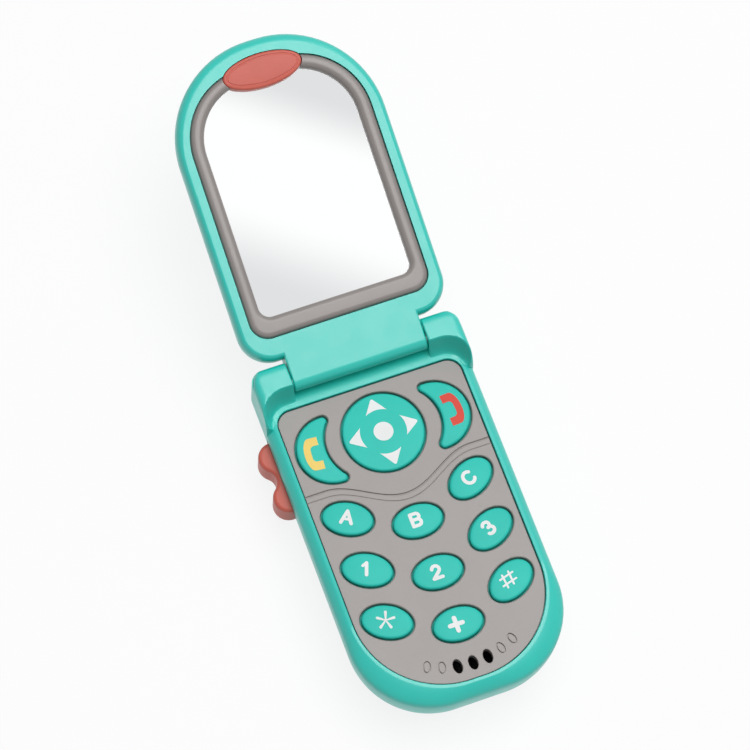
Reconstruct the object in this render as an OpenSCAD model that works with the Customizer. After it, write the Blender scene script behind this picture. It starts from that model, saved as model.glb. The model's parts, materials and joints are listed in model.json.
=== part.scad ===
// Toy flip phone, open, lying on its back.
// X runs across the phone, Y along it towards the lid, Z up from the surface it lies on.
// The origin is on the flat back of the base, midway between its two ends.

/* [Base] */
// Width of the keypad face
face_w = 51; // [49:0.5:55]
// Length of the keypad face
face_len = 83.8; // [82:0.2:88]
// Height of the keypad face above the back
face_z = 21; // [20.6:0.2:25]
// Half length of the face's straight lower end, between its two large corners
face_flat = 2; // [1:0.1:4]
// Radius of the face's two upper corners
face_top_r = 4; // [2:0.5:6]
// Thickness of the face plate
face_t = 1.8; // [1.4:0.1:2.2]
// How far the rim stands outside the face's sides
rim_w = 3.3; // [3:0.1:4.5]
// How far the rim stands outside the face's lower end
end_rim_w = 4.2; // [3.6:0.1:5]
// Half length of the base's straight lower end, between its two large corners
base_flat = 6.8; // [5:0.1:8]
// How far the rim stands above the face
rim_h = 0.6; // [0.3:0.1:0.8]
// Wall of the base shells
wall = 2; // [1.6:0.1:2.4]
// Height of the joint between the two base shells
parting_z = 10; // [9:0.5:11]
// How far the back's rounded edge reaches in
back_round_w = 9.3; // [7:0.1:10]
// How high the back's rounded edge reaches up
back_round_h = 17; // [15:0.5:18]

/* [Hinge] */
// Distance of the hinge axis from the origin, along the phone
hinge_y = 44.5; // [43:0.5:47]
// Height of the hinge axis above the face
hinge_h = 4; // [3.8:0.1:5]
// Distance from the hinge axis down to the face's upper edge
hinge_to_face = 6; // [5.6:0.1:7]
// Distance from the hinge axis up to the base's upper end
hinge_to_end = 5.2; // [4.4:0.1:5.5]
// Radius of the hinge pin
pin_r = 1.25; // [1:0.05:1.3]
// Width of the hinge barrel
barrel_w = 37; // [34:0.5:40]
// Height of the ears above the hinge axis
ear_top = 3.7; // [3.4:0.1:4.5]
// Angle of the open lid above the surface
open_angle = 16.26; // [5:0.5:30]

/* [Keys] */
// Length of an oval key
key_len = 13.3; // [12:0.1:13.6]
// Width of an oval key
key_wid = 8.8; // [7.8:0.1:9]
// Tilt of the oval keys in the side columns
key_tilt = 28; // [15:1:32]
// Distance of the side columns from the face's sides
column_in = 8.5; // [8.1:0.1:8.9]
// Distance between rows of keys
row_pitch = 14.75; // [14:0.05:15]
// Distance from the round pad to the first row
pad_to_row = 19.4; // [19:0.1:20]
// How much lower the middle column sits
middle_drop = 6.5; // [6:0.1:7]
// Diameter of the round pad
pad_d = 21.6; // [20:0.1:22]
// Distance from the hinge axis to the round pad
hinge_to_pad = 19.5; // [19:0.1:20]
// Outer radius of a crescent key
crescent_r = 9.3; // [8.6:0.1:9.4]
// Distance of a crescent key from the face's side
crescent_in = 1.9; // [1.8:0.05:2.3]
// Inner radius of a crescent key
crescent_in_r = 11.6; // [11:0.1:13]
// Width of a crescent key at its middle
crescent_wid = 7.6; // [7.2:0.1:8.2]
// Radius of a crescent's tips
crescent_tip_r = 1.1; // [0.8:0.1:1.3]
// Gap around each key
key_gap = 0.45; // [0.3:0.05:0.5]
// How far a key stands above the face
key_rise = 0.5; // [0.3:0.05:0.6]
// How much lower a key's edge is than its middle
key_dome = 0.45; // [0.2:0.05:0.6]
// How far a key can be pressed
key_travel = 1; // [0.6:0.1:1.2]
// Width of the flange under a key
flange_w = 0.8; // [0.6:0.05:0.9]
// Thickness of the flange under a key
flange_t = 0.8; // [0.6:0.1:1]

/* [Face details] */
// Distance of the wave's ends below the round pad
wave_below_pad = 10.5; // [10:0.1:11.5]
// Depth of the wave's dip
wave_dip = 7.3; // [6:0.1:7.5]
// Half length of the wave's dip
wave_half = 20; // [16:0.5:22]
// Width of the wave's groove
groove_w = 0.5; // [0.3:0.05:0.7]
// Depth of the wave's groove
groove_d = 0.35; // [0.2:0.05:0.5]
// Distance between the wave's two grooves
groove_pitch = 1.7; // [1.4:0.1:2]
// Length of a sound hole
slot_len = 3.8; // [3:0.1:4]
// Width of a sound hole
slot_wid = 2.4; // [1.8:0.1:2.6]
// Distance between sound holes
slot_pitch = 4.15; // [3.8:0.05:4.4]
// Distance of the sound holes above the face's lower end
slot_up = 4; // [3.6:0.1:4.2]

/* [Rocker] */
// Length of the side rocker
rocker_len = 20; // [17:0.5:22]
// Height of the side rocker
rocker_h = 8; // [6:0.2:8.4]
// How far the rocker's ends stand out
rocker_out = 3.9; // [3.4:0.1:4.4]
// How far the rocker's waist stands out
rocker_waist = 1.2; // [0.8:0.1:1.6]
// Radius of the rocker's ends
rocker_r = 4.2; // [4:0.1:4.6]
// Distance of the rocker's middle below the face
rocker_drop = 9; // [8.6:0.1:9.4]
// Distance of the rocker's middle below the round pad's middle
rocker_below_pad = 1.2; // [0:0.1:3]

/* [Lid] */
// Width of the lid
lid_w = 56.8; // [55:0.2:58]
// Distance from the hinge axis to the lid's lower edge
lid_y0 = 6.4; // [6.2:0.1:7]
// Distance from the hinge axis to the lid's upper end
lid_y1 = 89; // [87:0.2:92]
// Radius of the lid's upper corners
lid_crown_r = 27; // [24:0.2:27.2]
// Radius of the lid's lower corners
lid_corner_r = 8.5; // [7:0.1:9]
// Height of the lid's face above the hinge axis
lid_face = 2.7; // [2.4:0.05:2.75]
// Depth of the lid's back below the hinge axis
lid_back = 5.3; // [5:0.1:6.5]
// Depth of the joint between the lid's shells below the hinge axis
lid_parting = 1.3; // [1.2:0.05:1.4]
// Radius of the lid's edges
lid_edge_r = 3; // [2.4:0.1:3.2]
// Floor of the lid's back shell
lid_floor = 2; // [1.8:0.1:2.2]
// Width of the mirror's frame
bezel_w = 49.44; // [48:0.1:50]
// Distance from the hinge axis to the frame's lower edge
bezel_y0 = 12.33; // [11.6:0.1:13]
// Radius of the frame's lower corners
bezel_corner_r = 5; // [4:0.1:6]
// Distance from the hinge axis to the frame's upper edge
bezel_y1 = 82.1; // [80:0.1:82.6]
// Radius of the frame's upper corners
bezel_crown_r = 19.1; // [17:0.1:20]
// How far the frame stands above the lid's face
bezel_rise = 0.4; // [0.2:0.05:0.5]
// Width of the mirror that shows
view_w = 41.9; // [40:0.1:43]
// Distance from the hinge axis to the lower edge of the mirror that shows
view_y0 = 17.8; // [17:0.1:18.6]
// Radius of the lower corners of the mirror that shows
view_corner_r = 3; // [2:0.1:4]
// Distance from the hinge axis to the upper edge of the mirror that shows
view_y1 = 78.5; // [77:0.1:79]
// Radius of the upper corners of the mirror that shows
view_crown_r = 15.5; // [14:0.1:16]
// Thickness of the mirror
mirror_t = 1; // [0.8:0.1:1.1]
// Depth of the mirror's front below the lid's face
mirror_depth = 1.9; // [1.7:0.05:2]
// Length of the badge
badge_len = 21.7; // [18:0.1:22]
// Width of the badge
badge_wid = 9; // [7:0.1:9.2]
// Distance of the badge's middle below the frame's upper edge
badge_down = 1.9; // [1.5:0.1:2.4]
// How far the badge stands above the lid's face
badge_rise = 0.4; // [0.2:0.05:0.5]

/* [Inside] */
// Diameter of a battery cell
cell_d = 10.5; // [10.1:0.1:10.5]
// Length of a battery cell
cell_len = 44.5; // [43.3:0.1:44.5]
// Room for the contacts at the two ends of the cells
contact_room = 5.9; // [5:0.1:6.5]
// Wall of the battery box
box_wall = 1.2; // [1:0.1:1.4]
// Thickness of the battery door
door_t = 1.8; // [1.5:0.1:2]
// Thickness of the circuit board
board_t = 1.2; // [0.8:0.1:1.3]
// Thickness of the rubber mat under the keys
mat_t = 0.8; // [0.6:0.1:0.9]
// Height of the mat's bumps
bump_h = 0.5; // [0.3:0.1:0.6]
// Radius of the loudspeaker
speaker_r = 9.3; // [8:0.1:9.4]
// Radius of a case screw's shank
screw_r = 1; // [0.9:0.05:1.1]
// Diameter of a wire
wire_d = 1; // [0.8:0.1:1.2]

/* [Hidden] */
$fn = 96;
eps = 0.05;

// Colours
teal = [0.42, 0.85, 0.80];
key_teal = [0.25, 0.78, 0.73];
warm_grey = [0.68, 0.66, 0.65];
coral = [0.85, 0.48, 0.42];
steel = [0.72, 0.73, 0.75];
board_green = [0.16, 0.42, 0.24];
dark = [0.16, 0.16, 0.17];

// Clearances between pieces
face_gap = 0.25;
seat_gap = 0.2;
run_gap = 0.3;
pin_gap = 0.05;
press_gap = 0.02;

// Plan of the face and the base: straight sides, two large lower corners and a short straight lower end
face_hw = face_w / 2;
face_y1 = hinge_y - hinge_to_face;
face_y0 = face_y1 - face_len;
face_corner_r = face_hw - face_flat;
corner_y = face_y0 + face_corner_r;
base_hw = face_hw + rim_w;
base_y0 = face_y0 - end_rim_w;
base_corner_r = base_hw - base_flat;
base_y1 = hinge_y + hinge_to_end;
hinge_z = face_z + hinge_h;
ear_x0 = barrel_w / 2 + run_gap;

// Heights of what lies under the face
face_under = face_z - face_t;
flange_top = face_under - seat_gap;
flange_under = flange_top - flange_t;
mat_top = flange_under - key_travel - run_gap - bump_h;
board_top = mat_top - mat_t;
board_under = board_top - board_t;
box_top = board_under - run_gap;
cell_room = 0.4;
cell_web = 0.6;
cell_z = door_t + cell_room + cell_d / 2;
cell_pitch = cell_d + cell_web;
box_room = cell_d + cell_room;
box_in = 5;
box_y1 = face_y1 - box_in;
box_y0 = box_y1 - cell_len - contact_room;
box_hw = cell_pitch / 2 + box_room / 2;
deck_h = 0.3;
deck_z = face_z + deck_h;

// Places of the keys
pad_y = hinge_y - hinge_to_pad;
row_y = pad_y - pad_to_row;
bump_r = 2.4;
column_x = face_hw - column_in;
crescent_x = face_hw - crescent_in - crescent_r;
crescent_in_x = face_hw - crescent_in - crescent_wid;
crescent_flange = key_gap + 0.1;
tip_out = crescent_r - crescent_tip_r;
tip_in = crescent_in_r + crescent_tip_r;
in_x = crescent_in_x - crescent_in_r;
tip_x = (tip_in * tip_in - tip_out * tip_out + crescent_x * crescent_x - in_x * in_x)
    / (2 * (crescent_x - in_x));
tip_y = sqrt(tip_out * tip_out - (tip_x - crescent_x) * (tip_x - crescent_x));

// Places of the fasteners
screw_head_r = 2 * screw_r;
screw_head_h = 1.3;
screw_gap = 0.15;
head_gap = 0.2;
post_wall = 1.8;
post_r = screw_r + post_wall;
seat_wall = 0.6;
post_in = 6.8;
post_down = 3.5;
top_post = [base_hw - post_in, hinge_y - post_down];
low_post_angle = -30;
low_post_in = 2.5;
low_post_reach = face_corner_r - low_post_in;
low_post = [face_flat, corner_y] + low_post_reach * [cos(low_post_angle), sin(low_post_angle)];
case_posts = [for (side = [-1, 1]) for (p = [top_post, low_post]) [side * p[0], p[1]]];
screw_seat = 6;
post_over = 2;
post_top = board_under + post_over;
rib_t = 2.4;
boss_r = 1.6;
boss_pilot_r = 0.7;
boss_in = 4.9;
boss_down = 3.3;
boss_shift = 0.3;
top_boss = [face_hw - boss_in, face_y1 - boss_down];
low_boss = [column_x / 2 - boss_shift, row_y - 1.5 * row_pitch - middle_drop + boss_shift];
board_bosses = [for (side = [-1, 1]) for (p = [top_boss, low_boss]) [side * p[0], p[1]]];
board_in = 2.9;
boss_room = 0.8;
point_room = 1.6;
board_head_h = 1.1;
plate_t = 0.4;
plate_in = 2;
tab_w = 2.4;
tab_out = 1.4;
tab_down = 0.3;
tab_slot_w = 3;
tab_slot_h = 3.4;
spring_low_r = 3.8;
spring_top_r = 2.2;
spring_wire = 0.6;
door_screw_down = 2.5;
door_screw_y = box_y0 - box_wall - door_screw_down;
door_screw_len = 5;
door_boss_wall = 1.4;
door_lap = 0.8;
door_hw = box_hw + door_lap;
door_tab = 5.2;
door_lip = 1.5;

// Places of the loudspeaker and the rocker
speaker_in = 3;
speaker_y = face_y0 + speaker_r + speaker_in;
speaker_z = wall;
magnet_h = 2;
basket_h = 3;
ring_wall = 1;
ring_h = 1.5;
basket_wall = 1.2;
basket_floor = 0.8;
basket_slope = 1.6;
basket_step = 1.2;
rocker_y = pad_y - rocker_below_pad;
rocker_z = face_z - rocker_drop;
rocker_bump_u = rocker_len / 2 - rocker_r;
rocker_bump_v = rocker_out - rocker_r;
waist_r = (rocker_bump_u * rocker_bump_u + pow(rocker_waist - rocker_bump_v, 2) - rocker_r * rocker_r)
    / (2 * (rocker_r - rocker_waist + rocker_bump_v));
rocker_depth = 3.4;
window_in = 1.7;
pivot_in = 5.2;
rocker_room = 0.6;
pivot_r = 1.2;
pivot_boss_r = 2.4;
pivot_step = 0.25;
pivot_over = 0.4;
arm_h = 4;
pivot_x = pivot_in - base_hw;
switch_gap = 0.6;
switch_x = pivot_x + pivot_boss_r + switch_gap;
switch_reach = 2;
switch_size = 4.2;
switch_end = 3;
switch_u = rocker_len / 2 - switch_end;
plunger_r = 0.9;
plunger_h = 0.7;
side_board_t = 1;
switch_wall = 1.4;

// The lid's own measures
lid_hw = lid_w / 2;
bezel_hw = bezel_w / 2;
view_hw = view_w / 2;
mirror_lap = 1.6;
mirror_z = lid_face - mirror_depth;
badge_gap = 0.1;
bezel_gap = 0.1;
mirror_seat = mirror_lap + bezel_gap;
badge_y = bezel_y1 - badge_down;
lid_screw_r = 0.9;
lid_screw_head_r = 2;
lid_screw_seat = 1.2;
lid_head_h = 1;
lid_post_r = 2.4;
lid_low_post_in = 4;
lid_low_post_up = 6;
lid_top_post_in = 6;
lid_top_post_down = 10.6;
low_lid_post = [view_hw - lid_low_post_in, view_y0 + lid_low_post_up];
top_lid_post = [view_hw - lid_top_post_in, view_y1 - lid_top_post_down];
lid_posts = [for (side = [-1, 1]) for (p = [low_lid_post, top_lid_post]) [side * p[0], p[1]]];
lid_wall = 2;

// Points of an arc
function arc(c, r, a0, a1, n) = [for (i = [0:n])
    let (t = a0 + (a1 - a0) * i / n) c + r * [cos(t), sin(t)]];

// Points of an ellipse's quarter or whole
function oval(a, b, a0 = 0, a1 = 360, n = 48, c = [0, 0]) =
    [for (i = [0:n - (a1 - a0 == 360 ? 1 : 0)])
        let (t = a0 + (a1 - a0) * i / n) c + [a * cos(t), b * sin(t)]];

// A section from a sweep's axis out to an edge, where r is the edge's own radius
function section(edge, r) = concat(
    [[0, edge[0][1]]], [for (p = edge) [r + p[0], p[1]]], [[0, edge[len(edge) - 1][1]]]);

// A section that is the same to both sides of the middle
function both_sides(edge, half) = concat(
    [for (p = edge) [half + p[0], p[1]]],
    [for (i = [len(edge) - 1:-1:0]) [-half - edge[i][0], edge[i][1]]]);

// Plan of the keypad face, grown by o
function face_plan(o) = concat(
    arc([face_hw - face_top_r, face_y1 - face_top_r], face_top_r + o, 0, 90, 8),
    arc([face_top_r - face_hw, face_y1 - face_top_r], face_top_r + o, 90, 180, 8),
    arc([-face_flat, corner_y], face_corner_r + o, 180, 270, 18),
    arc([face_flat, corner_y], face_corner_r + o, 270, 360, 18));

// Plan of the crescent key on the right, grown by o, about the pad's middle
function crescent_plan(o) = let (
    out_a = atan2(tip_y, tip_x - crescent_x),
    in_a = atan2(tip_y, tip_x - in_x)) concat(
    arc([crescent_x, 0], crescent_r + o, -out_a, out_a, 24),
    arc([tip_x, tip_y], crescent_tip_r + o, out_a + 10, in_a + 170, 8),
    arc([in_x, 0], crescent_in_r - o, in_a, -in_a, 16),
    arc([tip_x, -tip_y], crescent_tip_r + o, 190 - in_a, 350 - out_a, 8));

// Height of the wave's line across the face
function wave_y(x) = pad_y - wave_below_pad
    - (abs(x) < wave_half ? wave_dip * (0.5 + 0.5 * cos(180 * x / wave_half)) : 0);

// Places and tilts of the nine oval keys, by column and row
function key_place(col, row) = [col * column_x, row_y - row * row_pitch - (col == 0 ? middle_drop : 0)];
function key_turn(col) = col * key_tilt;

// A tube along a list of points
function tube_ring(path, i, r, n) = let (
    d = path[min(i + 1, len(path) - 1)] - path[max(i - 1, 0)],
    u = cross(d, [1, 0, 0]) / norm(cross(d, [1, 0, 0])),
    v = cross(d, u) / norm(cross(d, u)))
    [for (k = [0:n - 1]) path[i] + r * (cos(360 * k / n) * u + sin(360 * k / n) * v)];
module tube(path, r, n = 8) {
    last = len(path) - 1;
    points = [for (i = [0:last]) each tube_ring(path, i, r, n)];
    sides = [for (i = [0:last - 1]) for (k = [0:n - 1]) let (j = (k + 1) % n)
        each [[i * n + k, i * n + j, i * n + n + j], [i * n + k, i * n + n + j, i * n + n + k]]];
    caps = [for (k = [1:n - 2]) each [[0, k + 1, k], [last * n, last * n + k, last * n + k + 1]]];
    polyhedron(points, concat(sides, caps));
}

// A solid with straight sides up to y1 and two round lower corners above y0
module u_slab(half, y0, y1, corner, edge) {
    translate([0, y1, 0])
        rotate([90, 0, 0])
            linear_extrude(y1 - y0 - corner)
                polygon(both_sides(edge, half));
    for (side = [0, 1])
        mirror([side, 0, 0])
            translate([half - corner, y0 + corner, 0])
                rotate([0, 0, -90])
                    rotate_extrude(angle = 90)
                        polygon(section(edge, corner));
    translate([corner - half, y0 + corner, 0])
        rotate([90, 0, 90])
            linear_extrude(2 * (half - corner))
                polygon([for (p = section(edge, corner)) [-p[0], p[1]]]);
}

// The same with its edge along the base's plan
module base_slab(edge, y1) {
    u_slab(base_hw, base_y0, y1, base_corner_r, edge);
}

// A solid with round lower corners above y0 and larger round upper corners below y1
module arch_slab(half, y0, y1, corner, crown, edge) {
    seam = (y0 + y1) / 2;
    u_slab(half, y0, seam, corner, edge);
    mirror([0, 1, 0])
        u_slab(half, -y1, -seam, crown, edge);
}

// A solid drawn in the plane across the hinge and run along the hinge from x0 to x1
module along_hinge(x0, x1, points) {
    translate([x0, 0, 0])
        rotate([90, 0, 90])
            linear_extrude(x1 - x0)
                polygon(points);
}

// A solid drawn in plan between two heights
module upright(z0, z1, points) {
    translate([0, 0, z0])
        linear_extrude(z1 - z0)
            polygon(points);
}

// Places a lid piece, drawn from the hinge axis, at the open angle
module on_lid() {
    translate([0, hinge_y, hinge_z])
        rotate([open_angle, 0, 0])
            children();
}

// Radius of the base's upper corners in plan
end_corner = 3.5;

// The ledge that carries the face plate
ledge_w = 1.2;
ledge_t = 1.2;

// Edges of the base, outside and inside, from the top down
rim_round = 2.5;
rim_round_h = 3.2;
back_edge = oval(back_round_w, back_round_h, 0, -90, 8, [-back_round_w, back_round_h]);
inner_back_edge = oval(back_round_w - wall, back_round_h - wall, 0, -90, 8, [-back_round_w, back_round_h]);
rim_top = face_z + rim_h;
rim_edge = oval(rim_round, rim_round_h, 90, 0, 6, [-rim_round, rim_top - rim_round_h]);
outer_edge = concat(rim_edge, back_edge);
ledge_under = face_under - ledge_t;
inner_edge = concat([[-wall, ledge_under]], inner_back_edge);

// The outside of the whole base, with its upper end rounded under
module base_outside() {
    back_end = [for (p = back_edge) [base_y1 + p[0], p[1]]];
    front = base_y0 - 1;
    deck_slope = 2;
    intersection() {
        base_slab(outer_edge, base_y1);
        along_hinge(-base_hw - eps, base_hw + eps, concat(
            [[front, -eps], [front, rim_top + eps], [face_y1, rim_top + eps]],
            [[face_y1 + deck_slope, deck_z], [base_y1, deck_z]], back_end, [[corner_y, -eps]]));
        upright(-eps, rim_top + eps, concat(
            arc([base_hw - end_corner, base_y1 - end_corner], end_corner, 0, 90, 8),
            arc([end_corner - base_hw, base_y1 - end_corner], end_corner, 90, 180, 8),
            [[-base_hw - eps, front], [base_hw + eps, front]]));
    }
}

// The room inside the base
module base_inside() {
    inner_end = [for (p = inner_back_edge) [base_y1 + p[0], p[1]]];
    intersection() {
        base_slab(inner_edge, base_y1 - wall);
        along_hinge(-base_hw, base_hw, concat(
            [[base_y0, wall], [base_y0, ledge_under], [base_y1 - wall, ledge_under]],
            inner_end));
    }
}

// One hinge ear, from its front slope over its top to the upper end
module ear() {
    outer_bevel = 1.5;
    end_round = 1.8;
    under_in = 2;
    under_z = back_round_h + 1;
    foot = parting_z - hinge_z;
    foot_y = 0.4 - hinge_to_face;
    top_z = hinge_z + ear_top;
    intersection() {
        translate([0, hinge_y, hinge_z])
            along_hinge(ear_x0, base_hw, concat(
                [[foot_y, foot], [foot_y, rim_h - hinge_h]],
                [[-4.4, -2.6], [-3.6, -0.6], [-2.9, 0.6], [0, ear_top - 0.7], [1, ear_top]],
                arc([hinge_to_end - end_round, ear_top - end_round], end_round, 90, 0, 5),
                [[hinge_to_end, under_z - hinge_z], [hinge_to_end - under_in, foot]]));
        translate([0, base_y1 + eps, 0])
            rotate([90, 0, 0])
                linear_extrude(4 * hinge_to_face)
                    polygon([[ear_x0 - eps, parting_z], [ear_x0 - eps, top_z + eps],
                        [base_hw - outer_bevel, top_z + eps], [base_hw, top_z - outer_bevel],
                        [base_hw, under_z], [base_hw - under_in, parting_z]]);
        upright(parting_z, top_z + 1, concat(
            [[ear_x0 - eps, face_y1 - 2], [base_hw + eps, face_y1 - 2]],
            arc([base_hw - end_corner, base_y1 - end_corner], end_corner, 0, 90, 8),
            [[ear_x0 - eps, base_y1]]));
    }
}

// The opening in the side wall for the rocker
module rocker_window() {
    out = 1;
    translate([-base_hw - out, rocker_y - rocker_len / 2 - rocker_room, rocker_z - rocker_h / 2 - run_gap])
        cube([out + wall + window_in, rocker_len + 2 * rocker_room, rocker_h + 2 * run_gap]);
}

module base_front_shell() {
    color(teal) difference() {
        union() {
            difference() {
                union() {
                    base_outside();
                    ear();
                    mirror([1, 0, 0]) ear();
                }
                base_inside();
            }
            intersection() {
                for (p = case_posts)
                    translate([p[0], p[1], parting_z]) {
                        cylinder(r = post_r, h = post_top - parting_z);
                        rotate([0, 0, p[0] > 0 ? 0 : 180])
                            translate([0, -rib_t / 2, 0])
                                cube([base_hw, rib_t, post_top - parting_z]);
                    }
                base_outside();
            }
        }
        translate([-2 * base_hw, face_y0 - base_hw, -1])
            cube([4 * base_hw, 4 * face_len, parting_z + 1]);
        upright(face_under, rim_top + 1, face_plan(face_gap));
        upright(ledge_under - eps, rim_top + 1, face_plan(-ledge_w));
        for (p = case_posts)
            translate([p[0], p[1], parting_z - eps])
                cylinder(r = screw_r + pin_gap, h = post_top - parting_z - 1);
        translate([base_hw + 1, hinge_y, hinge_z])
            rotate([0, -90, 0])
                cylinder(r = pin_r + press_gap, h = 2 * base_hw - 1);
        rocker_window();
    }
}

module base_rear_shell() {
    color(teal) difference() {
        union() {
            difference() {
                base_outside();
                base_inside();
                translate([-2 * base_hw, face_y0 - base_hw, parting_z])
                    cube([4 * base_hw, 4 * face_len, face_z]);
            }
            intersection() {
                union() {
                    for (p = case_posts)
                        translate([p[0], p[1], 0])
                            cylinder(r = post_r + seat_wall, h = parting_z);
                    translate([0, door_screw_y, 0])
                        cylinder(r = screw_r + door_boss_wall, h = parting_z - 2);
                    translate([0, speaker_y, 0])
                        difference() {
                            cylinder(r = speaker_r + ring_wall, h = speaker_z + magnet_h + ring_h);
                            cylinder(r = speaker_r + pin_gap, h = parting_z);
                            translate([-2 * speaker_r, -2.5 * speaker_r, -1])
                                cube([4 * speaker_r, 2 * speaker_r, parting_z]);
                        }
                    translate([pivot_x, rocker_y, 0]) {
                        cylinder(r = pivot_boss_r, h = rocker_z - rocker_h / 2 - 2 * run_gap);
                        cylinder(r = pivot_r + pivot_step, h = rocker_z - arm_h / 2 - run_gap);
                        cylinder(r = pivot_r, h = rocker_z + arm_h / 2 + pivot_over);
                    }
                    translate([switch_x + side_board_t, rocker_y - rocker_len / 2, 0])
                        cube([switch_wall, rocker_len, parting_z - 1]);
                }
                base_outside();
            }
            translate([-box_hw - box_wall, box_y0 - box_wall, wall / 2])
                cube([2 * (box_hw + box_wall), box_y1 - box_y0 + 2 * box_wall, box_top - wall / 2]);
            translate([-door_hw - door_lip, box_y0 - box_wall - door_tab - door_lip, wall / 2])
                cube([2 * (door_hw + door_lip), door_tab + 2 * door_lip, door_t + door_lip - wall / 2]);
        }
        translate([-box_hw, box_y0, -1])
            cube([2 * box_hw, box_y1 - box_y0, 1 + cell_z + cell_d / 2 + cell_room]);
        door_recess(face_gap);
        for (p = case_posts)
            translate([p[0], p[1], -1]) {
                cylinder(r = screw_r + screw_gap, h = parting_z + 2);
                cylinder(r = screw_head_r + head_gap, h = screw_seat + 1);
            }
        translate([0, door_screw_y, -1])
            cylinder(r = screw_r + pin_gap, h = parting_z - 2);
        for (side = [-1, 1])
            translate([side * cell_pitch / 2 - tab_slot_w / 2, box_y1 - eps, cell_z - tab_slot_h / 2])
                cube([tab_slot_w, box_wall + 2 * eps, tab_slot_h]);
        rocker_window();
    }
}

// The battery door's plate, and the recess that it lies in
module door_recess(gap) {
    z0 = gap > 0 ? -eps : 0;
    translate([-door_hw - gap, box_y0 - box_wall - door_tab - gap, z0])
        cube([2 * (door_hw + gap), box_y1 - box_y0 + box_wall + door_tab + door_lap + 2 * gap, door_t - z0]);
}

// The keypad face with its key holes, sound holes, wave and board bosses
module keypad_fascia() {
    color(warm_grey) difference() {
        union() {
            upright(face_under, face_z, face_plan(0));
            for (p = board_bosses)
                translate([p[0], p[1], board_top])
                    cylinder(r = boss_r, h = face_under - board_top + eps);
        }
        for (col = [-1:1])
            for (row = [0:2])
                translate(key_place(col, row))
                    rotate([0, 0, key_turn(col)])
                        upright(face_under - 1, face_z + 1,
                            oval(key_len / 2 + key_gap, key_wid / 2 + key_gap));
        translate([0, pad_y, face_under - 1])
            cylinder(d = pad_d + 2 * key_gap, h = face_t + 2);
        for (side = [0, 1])
            mirror([side, 0, 0])
                translate([0, pad_y, 0])
                    upright(face_under - 1, face_z + 1, crescent_plan(key_gap));
        for (line = [0, 1])
            wave_groove(-line * groove_pitch, groove_w * (1 - 0.3 * line), groove_d * (1 - 0.3 * line));
        for (i = [-3:3])
            sound_hole(i);
        for (p = board_bosses)
            translate([p[0], p[1], board_top - eps])
                cylinder(r = boss_pilot_r, h = face_under - board_top);
    }
}

// One groove of the wave across the face
module wave_groove(shift, width, depth) {
    step = 1.5;
    reach = face_hw + 1;
    upright(face_z - depth, face_z + 1, concat(
        [for (x = [-reach:step:reach]) [x, wave_y(x) + shift + width / 2]],
        [for (x = [-reach:step:reach]) [-x, wave_y(-x) + shift - width / 2]]));
}

// A sound hole: the three in the middle go through, the outer ones are shallow
module sound_hole(i) {
    outer = abs(i) > 1;
    sag = 0.36 * i * i - 0.02 * abs(i * i * i);
    size = outer ? 0.85 : 1;
    drift = 0.03 * i * i * i;
    fan = 7;
    translate([i * slot_pitch - drift, face_y0 + slot_up + sag, 0])
        rotate([0, 0, outer ? i * fan : 0])
            upright(outer ? face_z - 0.5 : face_under - 1, face_z + 1,
                oval(size * slot_wid / 2, size * slot_len / 2, n = 24));
}

// A key: a domed cap through the face and a wider flange under it
module key_cap(reach) {
    dome_r = (reach * reach + key_dome * key_dome) / (2 * key_dome);
    intersection() {
        upright_children(flange_top - eps, face_z + key_rise + 1) children(0);
        translate([0, 0, face_z + key_rise - dome_r])
            sphere(r = dome_r, $fn = 180);
    }
    upright_children(flange_under, flange_top) children(1);
}
module upright_children(z0, z1) {
    translate([0, 0, z0])
        linear_extrude(z1 - z0)
            children();
}

module oval_key(col, row) {
    color(key_teal)
        translate(key_place(col, row))
            rotate([0, 0, key_turn(col)])
                key_cap(key_len / 2) {
                    polygon(oval(key_len / 2, key_wid / 2));
                    polygon(oval(key_len / 2 + flange_w, key_wid / 2 + flange_w));
                }
}
module key_a() { oval_key(-1, 0); }
module key_b() { oval_key(0, 0); }
module key_c() { oval_key(1, 0); }
module key_1() { oval_key(-1, 1); }
module key_2() { oval_key(0, 1); }
module key_3() { oval_key(1, 1); }
module key_star() { oval_key(-1, 2); }
module key_plus() { oval_key(0, 2); }
module key_hash() { oval_key(1, 2); }

module nav_pad() {
    color(key_teal)
        translate([0, pad_y, 0])
            key_cap(pad_d / 2) {
                circle(d = pad_d);
                circle(d = pad_d + 2 * flange_w);
            }
}

// The crescent's cap is domed about its own middle
module crescent_key() {
    mid = (crescent_in_x + crescent_x + crescent_r) / 2;
    translate([mid, pad_y, 0])
        key_cap(crescent_r) {
            translate([-mid, 0]) polygon(crescent_plan(0));
            translate([-mid, 0]) polygon(crescent_plan(crescent_flange));
        }
}
module end_key() { color(key_teal) crescent_key(); }
module call_key() { color(key_teal) mirror([1, 0, 0]) crescent_key(); }

// Plan of the circuit board, drawn in by inset, with its upper part as wide as asked
module board_plan(inset, wide) {
    beside_keys = 3;
    post_room = 1.5;
    top_room = 1.3;
    end_room = 9.3;
    shoulder_h = 5.2;
    hw = column_x + beside_keys - inset;
    low_hw = low_post[0] - post_r - post_room - inset;
    top = face_y1 - top_room - inset;
    low = low_post[1] + post_r + post_room + inset;
    bottom = face_y0 + end_room + inset;
    shoulder = top - shoulder_h + 2 * inset;
    polygon([[-wide, top], [-wide, shoulder], [-hw, shoulder], [-hw, low], [-low_hw, low], [-low_hw, bottom],
        [low_hw, bottom], [low_hw, low], [hw, low], [hw, shoulder], [wide, shoulder], [wide, top]]);
}

module main_board() {
    color(board_green) difference() {
        upright_children(board_under, board_top) board_plan(0, face_hw - board_in);
        for (p = board_bosses)
            translate([p[0], p[1], board_under - 1])
                cylinder(r = boss_pilot_r + run_gap, h = board_t + 2);
    }
}

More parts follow.
